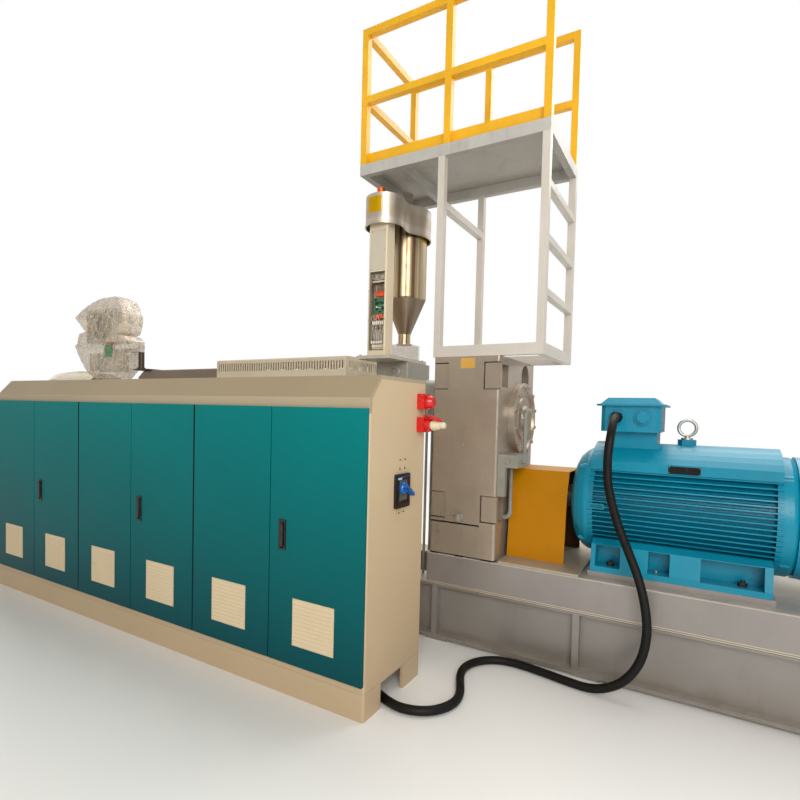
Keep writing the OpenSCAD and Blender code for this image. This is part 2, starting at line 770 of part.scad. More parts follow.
module barrel_stands() color("lightslategray") placed()
  for (x = [barrel_end + stand_in, barrel_x - stand_in]) {
    difference() {
      union() {
        block([x, -stand_d, lower_h + seat], [x + stand_w, stand_d, lower_h + 25]);
        block([x + stand_w / 2 - 15, -stand_d + 20, lower_h + 24], [x + stand_w / 2 + 15, stand_d - 20,
          screw_z - 90]);
        block([x, -stand_d + 20, lower_h + 24], [x + stand_w, -stand_d + 44, screw_z - 100]);
        block([x, stand_d - 44, lower_h + 24], [x + stand_w, stand_d - 20, screw_z - 100]);
        block([x, -stand_d + 20, screw_z - 190], [x + stand_w, stand_d - 20, screw_z - 100]);
      }
      rod_x(x - 1, 0, screw_z, heater_d / 2 + seat, stand_w + 2, 96);
    }
    both_sides()
      block([x + 30, stand_d - 21, screw_z - cover_down - 50],
        [x + stand_w - 30, cover_w / 2, screw_z - cover_down - seat]);
  }

head_r = head_d / 2;
band_r = head_r + 18;
body_x = head_end + 100;
body_l = 1040;
band_first = 250;
band_last = 950;
neck_r = 150;
changer_half = 170;
changer_l = 300;
// Distance of the screen changer from the barrel's end
changer_off = 310;

module die_head() color("silver") placed() {
  turned_x(head_end, 0, screw_z, [
    [0, 0], [104, 0], [120, 16], [120, 100], [head_r - 12, 100], [head_r, 112],
    for (k = [0:4]) each [[head_r, band_first + k * 140], [band_r, band_first + k * 140],
      [band_r, band_first + k * 140 + 110], [head_r, band_first + k * 140 + 110]],
    [head_r, 100 + body_l - 90], [250, 100 + body_l - 90], [250, 100 + body_l], [neck_r, 100 + body_l],
    [neck_r, head_l - 60], [190, head_l - 60], [190, head_l - seat], [0, head_l - seat]
  ]);
  // Block of the screen changer
  translate([head_end + head_l - changer_off - changer_l, -changer_half, screw_z - changer_half])
    linear_extrude(2 * changer_half) rounded(changer_l, 2 * changer_half, 16);
  for (i = [0:11])
    bolt_x(head_end + 100 + body_l - 1, 215 * cos(i * 30), screw_z + 215 * sin(i * 30), 17, 20);
  for (i = [0:7])
    bolt_x(head_end + head_l - 78, 168 * cos(i * 45), screw_z + 168 * sin(i * 45), 12, 19);
}

cradle_w = 110;
cradle_x = [body_x + 10, body_x + body_l - cradle_w - 40];

module head_stand() color("lightslategray") placed() {
  for (x = cradle_x)
    difference() {
      union() {
        block([x, -150, 120], [x + cradle_w, 150, screw_z - 160]);
        block([x - 20, -260, 0], [x + cradle_w + 20, 260, 121]);
        both_sides() prism_x(x + 40, 30, [[149, 120], [240, 120], [200, screw_z - 300], [149, screw_z - 300]]);
      }
      rod_x(x - 30, 0, screw_z, head_r + seat, cradle_w + 60, 96);
    }
  both_sides() block([cradle_x[0] + cradle_w - 10, 170, 20], [cradle_x[1] + 10, 230, 100]);
}

wrap_gap = 0.4;
wrap_l = body_l - 80;
// Distance below the axis down to which the film hangs
wrap_down = 60;

// Film laid over the die's heater bands
module head_wrap() color("white", 0.4) placed()
  difference() {
    turned_x(body_x - 10, 0, screw_z, [
      [head_r + 1.3, 0], [head_r + 6, 0], [band_r + 16, 60], [band_r + 32, 0.42 * wrap_l],
      [band_r + 26, 0.73 * wrap_l], [band_r + 10, wrap_l - 60], [head_r + 6, wrap_l],
      [head_r + 1.3, wrap_l], [band_r + wrap_gap, wrap_l - 60], [band_r + wrap_gap, 60]
    ]);
    block([body_x - 11, -2 * band_r, screw_z - 2 * band_r],
      [body_x + wrap_l + 1, 2 * band_r, screw_z - wrap_down]);
  }

// Feeder

plate_half = 150;
column_r = 10;

module feeder_plate() color("lightgray") placed() {
  block([hopper_x - plate_half, column_y - 95, feed_top + seat], [hopper_x + plate_half, 110, feeder_z]);
  for (x = [-1, 1]) for (y = [column_y - 75, 90])
    translate([hopper_x + x * (plate_half - 25), y, feeder_z - 1]) cylinder(r = 11, h = 11, $fn = 6);
}

bay_low = feeder_z + 40;
bay_high = feeder_z + 630;
bay_deep = 62;
lip = 14;
column_top = cap_z + cap_h - 4 - seat;

module feeder_column() color("wheat") placed() {
  front = column_y - column_d / 2;
  back = column_y + column_d / 2;
  difference() {
    translate([hopper_x - column_w / 2, front, feeder_z + seat]) linear_extrude(column_top - feeder_z - seat)
      rounded(column_w, column_d, column_r);
    block([hopper_x - column_w / 2 + lip, front - 1, bay_low],
      [hopper_x + column_w / 2 - lip, front + bay_deep, bay_high]);
    // Recessed panel over the bay
    block([hopper_x - column_w / 2 + lip, front - 1, bay_high + 8],
      [hopper_x + column_w / 2 - lip, front + 4, cap_z - 30]);
  }
  block([hopper_x - column_w / 2 - 14, front + 20, feeder_z + seat], [hopper_x - column_w / 2 + 1, back - 20,
    feeder_z + 8]);
  block([hopper_x + column_w / 2 - 1, front + 20, feeder_z + seat], [hopper_x + column_w / 2 + 14, back - 20,
    feeder_z + 8]);
}

// Boards and blocks on the bay's back wall: x from the axis, low, width, height, depth
board_parts = [
  [-56, 548, 112, 26, 22], [-24, 452, 78, 36, 30], [-56, 322, 112, 120, 10], [-24, 282, 78, 34, 30],
  [-56, 212, 112, 34, 26], [-34, 118, 66, 72, 40], [-56, 52, 112, 30, 22]
];

module control_board() color("seagreen") placed() {
  back = column_y - column_d / 2 + bay_deep - seat;
  block([hopper_x - column_w / 2 + lip + 3, back - 5, bay_low + 4], [hopper_x + column_w / 2 - lip - 3, back,
    bay_high - 4]);
  for (p = board_parts)
    block([hopper_x + p[0], back - 4 - p[4], feeder_z + p[1]], [hopper_x + p[0] + p[2], back - 4,
      feeder_z + p[1] + p[3]]);
  // Screws of the terminal strips
  for (p = [board_parts[0], board_parts[4]]) for (i = [0:7])
    rod_y(hopper_x - 45 + i * 13, back - 8 - p[4], feeder_z + p[1] + p[3] / 2, 3.5, 6, 16);
}

module feeder_hopper() color("silver") placed() {
  low = 15 + outlet_l;
  translate([hopper_x, 0, feeder_z + sight_h + seat]) rotate_extrude($fn = 96)
    polygon([[outlet_d / 2 - 3, 0], [outlet_d / 2 + 14, 0], [outlet_d / 2 + 14, 8], [outlet_d / 2, 8],
      [outlet_d / 2, low], [hopper_d / 2 - 4, low + cone_h], [hopper_d / 2, low + 10 + cone_h],
      [hopper_d / 2, low + cone_h + hopper_h + 120], [hopper_d / 2 - 3, low + cone_h + hopper_h + 120],
      [hopper_d / 2 - 3, low + 11 + cone_h], [hopper_d / 2 - 7, low + 1 + cone_h],
      [outlet_d / 2 - 3, low + 1]]);
}

module sight_box() color("white", 0.4) placed()
  difference() {
    block([hopper_x - sight_w / 2, -sight_w / 2, feeder_z + seat],
      [hopper_x + sight_w / 2, sight_w / 2, feeder_z + sight_h]);
    block([hopper_x - sight_w / 2 + 8, -sight_w / 2 + 8, feeder_z + 8],
      [hopper_x + sight_w / 2 - 8, sight_w / 2 - 8, feeder_z + sight_h - 8]);
    translate([hopper_x, 0, feeder_z + sight_h - 10]) cylinder(r = outlet_d / 2 - 3, h = 20);
  }

cap_off = 340;
// Centre of the waist's arc, which touches both round ends
waist_y = (pow(cap_low_r + waist_r, 2) - pow(cap_r + waist_r, 2) - cap_off * cap_off) / (2 * cap_off);
waist_x = sqrt(pow(cap_r + waist_r, 2) - waist_y * waist_y);

// Two round ends joined by a waist whose sides curve inwards
module cap_outline(grow) {
  a = (cap_r + grow) / (cap_r + waist_r);
  b = (cap_low_r + grow) / (cap_low_r + waist_r);
  circle(r = cap_r + grow, $fn = 96);
  translate([0, -cap_off]) circle(r = cap_low_r + grow, $fn = 96);
  difference() {
    polygon([[-a * waist_x, a * waist_y], [a * waist_x, a * waist_y],
      [b * waist_x, b * (waist_y + cap_off) - cap_off], [-b * waist_x, b * (waist_y + cap_off) - cap_off]]);
    for (side = [-1, 1]) translate([side * waist_x, waist_y]) circle(r = waist_r - grow, $fn = 128);
  }
}

module feeder_cap() color("silver") placed()
  translate([hopper_x, 0, cap_z]) {
    difference() {
      union() {
        linear_extrude(cap_h) cap_outline(0);
        linear_extrude(14) cap_outline(4);
      }
      translate([0, 0, -1]) linear_extrude(cap_h - 3) cap_outline(-4);
    }
    // Turning knob on the top
    translate([-10, -390, cap_h - 1]) {
      cylinder(r = 12, h = 24);
      translate([0, 0, 22]) cylinder(r = 30, h = 40);
    }
  }

hose_pitch = 12;

module hose_stub() color("dimgray") placed() {
  l = deck_z - cap_z - cap_h - 2 * seat;
  n = floor(l / hose_pitch);
  r = hose_d / 2;
  translate([hopper_x, 0, cap_z + cap_h + seat]) rotate_extrude() polygon(concat(
    [[0, 0]],
    [for (i = [0:n - 1]) each [[r - 6, i * hose_pitch], [r, i * hose_pitch + 3],
      [r, i * hose_pitch + 7], [r - 6, i * hose_pitch + 10]]],
    [[r - 6, l], [0, l]]));
}

// Platform over the gearbox

plat_x = plat_right - plat_l;
deck_left = plat_x - plat_over;
plat_front = gear_front;
plat_back = gear_back;

module platform_frame() color("whitesmoke") placed() {
  low = gear_top + seat;
  for (x = [plat_x, plat_right - tube_w])
    for (y = [plat_front, plat_back - tube_w])
      block([x, y, low], [x + tube_w, y + tube_w, deck_z - seat]);
  for (y = [plat_front, plat_back - tube_w])
    block([plat_x + 1, y, low], [plat_right - 1, y + tube_w, gear_top + plat_sill]);
  for (x = [plat_x, plat_right - tube_w])
    block([x, plat_front + 1, low], [x + tube_w, plat_back - 1, gear_top + plat_sill]);
  // Tie between the two left posts
  block([plat_x, plat_front + 1, deck_z - 350], [plat_x + tube_w, plat_back - 1, deck_z - 350 + tube_w]);
}

module platform_rungs() color("whitesmoke") placed()
  for (i = [1:3])
    block([plat_right - tube_w + 1, plat_front + tube_w + seat, gear_top + 40 + i * rung_pitch],
      [plat_right - 1, plat_back - tube_w - seat, gear_top + 40 + rung_h + i * rung_pitch]);

module platform_deck() color("gainsboro") placed() {
  for (x = [deck_left, deck_left + 300, plat_right - tube_w])
    block([x, plat_front + 1, deck_z], [x + tube_w, plat_back - 1, deck_top]);
  for (y = [plat_front, plat_back - tube_w])
    block([deck_left, y, deck_z], [plat_right, y + tube_w, deck_top]);
  block([deck_left, plat_front, deck_top - 1], [plat_right, plat_back, deck_top + 5]);
}

module platform_rail() color("goldenrod") placed() {
  z0 = deck_top + 5 + seat;
  w = rail_w;
  mid = (deck_left + plat_right - w) / 2;
  for (y = [plat_front, plat_back - w]) {
    for (x = [deck_left, mid, plat_right - w])
      block([x, y, z0], [x + w, y + w, z0 + rail_h]);
    for (h = [rail_h / 2, rail_h])
      block([deck_left, y, z0 + h - w], [plat_right, y + w, z0 + h]);
  }
  for (h = [rail_h / 2, rail_h])
    block([deck_left, plat_front + 1, z0 + h - w], [deck_left + w, plat_back - 1, z0 + h]);
  // Toe boards
  for (y = [plat_front + w, plat_back - w - 5])
    block([deck_left + w - 1, y, z0], [plat_right, y + 5, z0 + toe_h]);
  block([deck_left + w - 1, plat_front + w, z0], [deck_left + w + 4, plat_back - w, z0 + toe_h]);
}

// Cabinets

sill_h = 25;
groove_z = cab_plinth - 42;
notch_y = [cab_front + 166, cab_front + 410];
notch_h = 140;
corner_r = 14;

module cabinet_plinth() color("wheat") placed()
  difference() {
    union() {
      block([cab_left, cab_front, 0], [cab_x, cab_back, cab_plinth]);
      block([cab_left, cab_front, cab_plinth - 1], [cab_x, cab_front + wall_t, cab_plinth + sill_h]);
    }
    block([cab_left + wall_t, cab_front + wall_t, -1],
      [cab_x - wall_t, cab_back - wall_t, cab_plinth - wall_t]);
    block([cab_x - wall_t - 1, notch_y[0], -1], [cab_x + 1, notch_y[1], notch_h]);
    // Fold line along the front and the end
    block([cab_left - 1, cab_front - 1, groove_z], [cab_x + 1, cab_front + 2, groove_z + 3]);
    block([cab_x - 2, cab_front - 1, groove_z], [cab_x + 1, cab_back + 1, groove_z + 3]);
    // Rounded corner
    difference() {
      block([cab_x - corner_r, cab_front - 1, -1], [cab_x + 1, cab_front + corner_r, cab_plinth + sill_h + 1]);
      translate([cab_x - corner_r, cab_front + corner_r, -2])
        cylinder(r = corner_r, h = cab_plinth + sill_h + 4);
    }
  }

module cabinet_back() color("wheat") placed()
  block([cab_left, cab_back - wall_t, cab_plinth + seat], [cab_x, cab_back, cab_h - wall_t - seat]);

cab_roof_outer = [[cab_front, door_top - 25], [cab_front, cab_h - cab_slope - 10],
  [cab_front + cab_slope - 10, cab_h], [cab_back, cab_h]];
cab_roof_inner = [[cab_back, cab_h - wall_t], [cab_front + cab_slope - 2, cab_h - wall_t],
  [cab_front + wall_t, cab_h - cab_slope - 18], [cab_front + wall_t, door_top - 25]];

module cabinet_roof() color("wheat") placed()
  prism_x(cab_left, cab_l, concat(cab_roof_outer, cab_roof_inner));

module wall_panel(x) prism_x(x, wall_t, [[cab_front + wall_t + seat, cab_plinth + seat],
  [cab_front + wall_t + seat, cab_h - cab_slope - 18],
  [cab_front + cab_slope - 2 + seat, cab_h - wall_t - seat],
  [cab_back - wall_t - seat, cab_h - wall_t - seat], [cab_back - wall_t - seat, cab_plinth + seat]]);

module front_post(x, w)
  block([x, cab_front, cab_plinth + sill_h + seat], [x + w, cab_front + wall_t + 1, door_top - 25 - seat]);

module cabinet_end() color("wheat") placed() {
  difference() {
    wall_panel(cab_x - wall_t);
    for (hole = [[334, 130], [388, 130], [312, -125], [366, -124]])
      rod_x(cab_x - wall_t - 1, cab_front + hole[0] - 18, breaker_z + hole[1], 6, wall_t + 2, 32);
  }
  // Corner post with its rounded edge
  translate([cab_x - 30, cab_front, cab_plinth + sill_h + seat])
    linear_extrude(door_top - 25 - cab_plinth - sill_h - 2 * seat) {
      square([30 - corner_r, wall_t + 1]);
      translate([0, corner_r]) square([30, wall_t + 1 - corner_r]);
      translate([30 - corner_r, corner_r]) circle(r = corner_r);
    }
}

module cabinet_walls() color("wheat") placed() {
  wall_panel(cab_left);
  front_post(cab_left, 30);
  for (i = [1:bays - 1]) {
    wall_panel(cab_x - 2 * i * door_pitch - wall_t / 2);
    front_post(cab_x - 2 * i * door_pitch - 30, 60);
  }
}

plate_d = 30;

module mounting_plates() color("lightgray") placed()
  for (i = [0:bays - 1])
    translate([cab_x - 2 * (i + 1) * door_pitch + 50, cab_back - wall_t - plate_d - seat, cab_plinth + 60])
      difference() {
        cube([2 * door_pitch - 100, plate_d, door_h - 120]);
        translate([3, 3, 3]) cube([2 * door_pitch - 106, plate_d, door_h - 126]);
      }

// Leaf number i counts from the right. Odd leaves hang on their right edge, even leaves on their left.
function leaf_x(i) = cab_x - i * door_pitch + door_gap / 2;
leaf_w = door_pitch - door_gap;
// Radius of the rolled edge that a leaf turns about
roll_r = 2.5;
rim = 16;
vent_x = (leaf_w - vent_w) / 2;
vent_z = door_z + 115;
handle_w = 54;
handle_h = 173;
handle_x = 66;
handle_z = door_z + 632;

// Outline of a leaf from above, with its front on y = 0 and its rolled edge at the far end
module leaf_plan() {
  translate([0, roll_r]) square([leaf_w, door_t - roll_r]);
  translate([roll_r, 0]) square([leaf_w - 2 * roll_r, door_t]);
  for (x = [roll_r, leaf_w - roll_r]) translate([x, roll_r]) circle(r = roll_r);
}

module vent() {
  step = (vent_h - 16) / slats;
  translate([0, -3, 0]) difference() {
    cube([vent_w, 4, vent_h]);
    translate([8, -1, 8]) cube([vent_w - 16, 3, vent_h - 16]);
  }
  rotate([90, 0, 90]) translate([0, 0, 7]) linear_extrude(vent_w - 14) polygon(concat(
    [[1, vent_h - 8], [1, 8]],
    [for (k = [0:slats - 1]) each [[-vent_out, 9 + k * step], [-vent_out, 12 + k * step],
      [-1.5, 8 + (k + 0.72) * step], [-1.5, 8 + (k + 1) * step]]]));
}

module door_leaf(i) translate([leaf_x(i), door_front, 0]) {
  odd = i % 2 == 1;
  difference() {
    translate([0, 0, door_z]) linear_extrude(door_h) leaf_plan();
    // The folded pan is open at the back, apart from the pads behind vent and handle
    difference() {
      block([rim, door_sheet, door_z + rim], [leaf_w - rim, door_t + 1, door_top - rim]);
      block([vent_x - 10, 0, vent_z - 10], [vent_x + vent_w + 10, 9, vent_z + vent_h + 10]);
      if (odd)
        block([handle_x - 12, 0, handle_z - 12],
          [handle_x + handle_w + 12, door_t - 2, handle_z + handle_h + 12]);
    }
    block([vent_x + 14, -1, vent_z + 14], [vent_x + vent_w - 14, 2, vent_z + vent_h - 14]);
    if (odd) block([handle_x, -1, handle_z], [handle_x + handle_w, 14, handle_z + handle_h]);
  }
  translate([vent_x, 0, vent_z]) vent();
}

module cabinet_door(i) color("darkcyan") placed() door_leaf(i);

module door_handle(i) color("black") placed() translate([leaf_x(i) + handle_x, door_front, handle_z]) {
  difference() {
    union() {
      block([seat, -3, seat], [handle_w - seat, 13, handle_h - seat]);
      translate([2, 1, 2]) rotate([90, 0, 0]) linear_extrude(6) rounded(handle_w - 4, handle_h - 4, 8);
    }
    // Finger dish below the grip
    translate([12, -6, 12]) rotate([90, 0, 0]) translate([0, 0, -10]) linear_extrude(14) rounded(30, 60, 10);
  }
  // Swing grip, hinged at its top
  translate([14, 1, 22]) rotate([90, 0, 0]) linear_extrude(handle_out) rounded(26, handle_h - 38, 6);
  rod_y(27, -handle_out + 1, handle_h - 26, 7, 6, 32);
}

// Switches and sockets on the cabinet's end

breaker_y = cab_front + 334;
breaker_z = 1170;
breaker_w = 158;
breaker_h = 190;
hub_at = [breaker_y - 18, breaker_z + 18];
grip = [69, -45];

module breaker_box() color("dimgray") placed() {
  x = cab_x + seat;
  difference() {
    union() {
      translate([x, breaker_y - breaker_w / 2, breaker_z - breaker_h / 2]) rotate([90, 0, 90])
        linear_extrude(15) rounded(breaker_w, breaker_h, 9);
      translate([x + 14, breaker_y - breaker_w / 2 + 14, breaker_z - breaker_h / 2 + 14]) rotate([90, 0, 90])
        linear_extrude(9) rounded(breaker_w - 28, breaker_h - 28, 6);
    }
    rod_x(x + 20, hub_at[0], hub_at[1], 42, 10);
    // Windows of the trip unit, under the handle
    for (y = [-44, -12, 20])
      block([x + 20, breaker_y + y, breaker_z - 70], [x + 30, breaker_y + y + 24, breaker_z - 52]);
  }
}

module breaker_lever() color("royalblue") placed() {
  x = cab_x + seat + 20 + seat;
  turned_x(x, hub_at[0], hub_at[1], [[0, 0], [35, 0], [35, 14], [31, 20], [0, 20]]);
  a = atan2(grip[1], grip[0]);
  l = norm(grip);
  translate([x + 19, hub_at[0], hub_at[1]]) rotate([a, 0, 0]) {
    block([0, -24, -9], [22, l - 9, 9]);
    rod_x(0, l - 9, 0, 9, 22, 32);
    translate([22, -18, -7]) cube([8, l - 4, 14]);
  }
}

socket_y = cab_back - 59;
socket_z = [cab_h - 171, cab_h - 305];
plug_z = socket_z[1] + 42;

module wall_sockets() color("red") placed() {
  for (k = [0:1]) {
    h = k == 0 ? 91 : 87;
    translate([cab_x + seat, socket_y - 43, socket_z[k]]) rotate([90, 0, 90]) linear_extrude(48)
      rounded(86, h, 8);
  }
  // Closed lid of the upper socket
  turned_x(cab_x + 48, socket_y, socket_z[0] + 42, [[0, 0], [38, 0], [40, 4], [40, 22], [36, 28],
    [30, 40], [0, 40]]);
  // Collar of the lower socket and its raised lid
  turned_x(cab_x + 48, socket_y, plug_z, [[26.3, 0], [38, 0], [38, 26], [34, 30], [26.3, 30]]);
  translate([cab_x + 47, socket_y, socket_z[1] + 95]) rotate([0, 18, 0]) {
    translate([56, 0, 0]) rotate_extrude() polygon([[0, 0], [40, 0], [40, 7], [34, 14], [0, 14]]);
    block([-4, -16, 1], [30, 16, 6]);
  }
  block([cab_x + 30, socket_y - 18, socket_z[1] + 84], [cab_x + 51, socket_y + 18, socket_z[1] + 102]);
}

module socket_plug() color("ivory") placed()
  turned_x(cab_x + 48 + seat, socket_y, plug_z, [[0, 0], [25, 0], [25, 34], [30, 38], [30, 60], [25, 64],
    [25, 78], [21, 82], [19, 84], [19, 112], [15, 118], [0, 118]]);

// Operator's panel on its post

cover_top = screw_z + front_cover_up;
panel_y = -300;
arm_z = cover_top + post_h;
film_low = arm_z - 196;
panel_up = 118;
panel_low = arm_z + panel_up;
tilt_r = 60;

module panel_post() color("dimgray") placed() {
  x = post_x + 80;
  block([x - 58, panel_y - 58, cover_top + seat], [barrel_end + cover_bevel[0] + 180, -150,
    cover_top + seat + 12]);
  translate([x, panel_y, cover_top + seat]) {
    cylinder(r = 30, h = post_h + 46);
    translate([0, 0, 12]) cylinder(r = 40, h = 20);
    translate([0, 0, post_h + 45]) cylinder(r = 35, h = 14);
    for (a = [45:90:315])
      translate([48 * cos(a), 48 * sin(a), 11]) cylinder(r = 8, h = 8, $fn = 6);
  }
  block([panel_x + tilt_r + seat, panel_y - 25, arm_z], [x + 1, panel_y + 25, arm_z + 40]);
}

module operator_panel() color("gainsboro") placed() translate([panel_x, panel_y, 0]) {
  translate([0, 0, arm_z - 7]) cylinder(r = tilt_r, h = panel_up + 9);
  difference() {
    block([-panel_w / 2, -panel_d / 2, panel_low], [panel_w / 2, panel_d / 2, panel_low + panel_h]);
    block([-panel_w / 2 + 40, -panel_d / 2 - 1, panel_low + 40],
      [panel_w / 2 - 40, -panel_d / 2 + 4, panel_low + panel_h - 40]);
  }
  block([-panel_w / 2 + 40, -panel_d / 2 + 10, film_low], [panel_w / 2 - 40, panel_d / 2 - 10, arm_z - 6]);
}

// Outline of the film seen from the front, from the panel's axis and the arm's height
film_front = [
  [-486, 411], [-75, 631], [148, 632], [377, 580], [450, 388], [433, 200], [345, 190], [447, 168],
  [512, 117], [424, -149], [325, -283], [-183, -278], [-347, -98], [-491, 86], [-424, 228], [-285, 243]
];
film_side = [
  [-95, -290], [-138, -215], [-152, 30], [-132, 205], [-150, 330], [-146, 520], [-80, 640],
  [80, 640], [146, 520], [150, 330], [132, 205], [152, 30], [138, -215], [95, -290]
];

film_deep = panel_d;
film_wide = panel_w + 100;

module panel_film() color("white", 0.4) placed() translate([panel_x, panel_y, arm_z])
  difference() {
    intersection() {
      prism_y(-film_deep, 2 * film_deep, film_front);
      prism_x(-film_wide, 2 * film_wide, film_side);
    }
    block([-panel_w / 2 - seat, -panel_d / 2 - seat, panel_up - seat],
      [panel_w / 2 + seat, panel_d / 2 + seat, panel_up + panel_h + seat]);
    block([-panel_w / 2 + 40 - seat, -panel_d / 2 + 10 - seat, film_low - arm_z - seat],
      [panel_w / 2 - 40 + seat, panel_d / 2 - 10 + seat, -6 + seat]);
    translate([0, 0, -8]) cylinder(r = tilt_r + seat, h = panel_up + 12);
    block([0, -25 - seat, -seat], [700, 25 + seat, 40 + seat]);
  }

// Motor cable

cable_d = 50;
cable_sides = 10;
// Route of the cable's axis from the gland to the inside of the cabinet's plinth
cable_route = [
  [700, -268, 1611], [700, -295, 1611], [702, -381, 1594], [703, -454, 1545], [700, -503, 1472],
  [695, -520, 1386], [696, -521, 1300], [703, -521, 1215], [732, -522, 1092], [774, -524, 965],
  [827, -530, 840], [884, -545, 705], [925, -562, 560], [942, -578, 410], [918, -592, 260],
  [850, -606, 140], [755, -610, 65], [650, -602, 30], [520, -585, 26], [395, -562, 26], [280, -545, 26],
  [180, -540, 26], [88, -558, 26], [10, -610, 26], [-42, -688, 26], [-60, -780, 26], [-41, -874, 26],
  [-6, -957, 26], [29, -1040, 26], [47, -1130, 26], [29, -1218, 26], [-20, -1293, 26],
  [-95, -1342, 26], [-183, -1360, 26], [-271, -1342, 26], [-350, -1309, 26], [-410, -1284, 26]
];

// Points between two of the route's points, on a smooth curve through them all
function curve_at(p, i, u) =
  let (a = p[max(i - 1, 0)], b = p[i], c = p[i + 1], d = p[min(i + 2, len(p) - 1)])
  0.5 * (2 * b + (c - a) * u + (2 * a - 5 * b + 4 * c - d) * u * u + (3 * b - a - 3 * c + d) * u * u * u);
function smooth_route(p) = [for (i = [0:len(p) - 2]) each [p[i], curve_at(p, i, 0.5)], p[len(p) - 1]];
function unit(v) = v / norm(v);
function along(q, i) = i == 0 ? [0, -1, 0] : unit(q[min(i + 1, len(q) - 1)] - q[i - 1]);
// Side direction of each ring, carried on from the ring before
function sides_of(q, i, last) = i == len(q) ? [] :
  let (t = along(q, i), s = unit(last - (last * t) * t)) concat([s], sides_of(q, i + 1, s));

module sweep(route, r, n) {
  q = smooth_route(route);
  side = sides_of(q, 0, [1, 0, 0]);
  rings = [for (i = [0:len(q) - 1]) let (s = side[i], o = cross(along(q, i), s))
    for (k = [0:n - 1]) q[i] + r * (cos(k * 360 / n) * s + sin(k * 360 / n) * o)];
  last = (len(q) - 1) * n;
  polyhedron(points = rings, faces = concat(
    [[for (k = [0:n - 1]) k]],
    [[for (k = [n - 1:-1:0]) last + k]],
    [for (i = [0:len(q) - 2]) for (k = [0:n - 1]) let (m = (k + 1) % n)
      each [[i * n + m, i * n + k, (i + 1) * n + k], [i * n + m, (i + 1) * n + k, (i + 1) * n + m]]]));
}

module motor_cable() color("black") placed() sweep(cable_route, cable_d / 2, cable_sides);

base_beams();
base_ties();
base_box();
gearbox_plinth();
guard_plate();
gearbox_housing();
bearing_cover();
oil_pipes();
drive_coupling();
coupling_guard();
motor_frame();
motor_shield();
motor_rear_shield();
fan_cowl();
terminal_box();
terminal_lid();
cable_gland();
lifting_eyes();
feed_section();
barrel();
barrel_cover_rear();
barrel_cover_front();
barrel_stands();
die_head();
head_stand();
head_wrap();
feeder_plate();
feeder_column();
control_board();
feeder_hopper();
sight_box();
feeder_cap();
hose_stub();
platform_frame();
platform_rungs();
platform_deck();
platform_rail();
cabinet_plinth();
cabinet_back();
cabinet_roof();
cabinet_end();
cabinet_walls();
mounting_plates();
cabinet_door(1);  // cabinet_door_1
cabinet_door(2);  // cabinet_door_2
cabinet_door(3);  // cabinet_door_3
cabinet_door(4);  // cabinet_door_4
cabinet_door(5);  // cabinet_door_5
cabinet_door(6);  // cabinet_door_6
door_handle(1);  // door_handle_1
door_handle(3);  // door_handle_2
door_handle(5);  // door_handle_3
breaker_box();
breaker_lever();
wall_sockets();
socket_plug();
panel_post();
operator_panel();
panel_film();
motor_cable();
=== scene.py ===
from math import cos, pi, radians, sin

import bmesh
import bpy
from mathutils import Matrix, Vector, noise


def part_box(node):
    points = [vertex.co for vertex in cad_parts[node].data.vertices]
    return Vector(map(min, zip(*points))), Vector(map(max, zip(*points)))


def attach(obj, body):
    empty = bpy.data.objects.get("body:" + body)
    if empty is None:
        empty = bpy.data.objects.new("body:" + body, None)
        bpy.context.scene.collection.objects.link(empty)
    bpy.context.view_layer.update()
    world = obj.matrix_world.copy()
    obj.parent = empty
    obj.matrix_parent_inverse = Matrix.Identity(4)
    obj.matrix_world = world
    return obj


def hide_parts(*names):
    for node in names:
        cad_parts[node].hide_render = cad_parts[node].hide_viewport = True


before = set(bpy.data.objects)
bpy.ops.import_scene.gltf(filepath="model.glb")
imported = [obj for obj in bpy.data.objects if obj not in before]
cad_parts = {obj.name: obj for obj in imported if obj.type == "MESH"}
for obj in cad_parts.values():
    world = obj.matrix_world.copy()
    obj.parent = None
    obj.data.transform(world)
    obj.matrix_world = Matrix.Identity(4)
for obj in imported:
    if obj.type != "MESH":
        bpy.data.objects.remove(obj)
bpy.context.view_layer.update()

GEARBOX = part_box("gearbox_housing")[1]
HOUSING_BACK = 0.350  # the housing's back face from the screw's axis, in metres
MACHINE_X = GEARBOX[0]
MACHINE_Y = GEARBOX[1] - HOUSING_BACK

bpy.context.scene.view_settings.view_transform = "Standard"


def at(x, y, z):
    """A place on the machine in millimetres, from the gearbox's drive face and the screw's axis."""
    return Vector((MACHINE_X + x / 1000, MACHINE_Y + y / 1000, z / 1000))


def rgb(red, green, blue):
    """A colour read as screen values from 0 to 255, as the shaders want it."""
    def linear(v):
        v /= 255
        return v / 12.92 if v <= 0.04045 else ((v + 0.055) / 1.055) ** 2.4
    return (linear(red), linear(green), linear(blue), 1)


def add(name, data):
    """A new object with this data, put into the scene."""
    piece = bpy.data.objects.new(name, data)
    bpy.context.collection.objects.link(piece)
    return piece


# Camera


def camera_like_the_photo():
    """The photograph's own view, worked out from the machine's straight edges."""
    yaw, pitch, roll = radians(29.99), radians(2.03), radians(1.43)
    picture, focal, raised, sensor = 800, 520, 30, 36
    level, side, up = Vector((-sin(yaw), cos(yaw), 0)), Vector((cos(yaw), sin(yaw), 0)), Vector((0, 0, 1))
    look = level * cos(pitch) - up * sin(pitch)
    top = up * cos(pitch) + level * sin(pitch)
    right = side * cos(roll) + top * sin(roll)
    top = top * cos(roll) - side * sin(roll)
    data = bpy.data.cameras.new("photo_camera")
    data.sensor_width = sensor
    data.lens = focal / picture * sensor
    data.shift_y = raised / picture
    data.clip_end = 200
    turned = Matrix((right, top, -look)).transposed().to_4x4()
    turned.translation = at(1155, -3750, 1612.5)
    camera = add("photo_camera", data)
    camera.matrix_world = turned
    bpy.context.scene.camera = camera


camera_like_the_photo()

# Curves


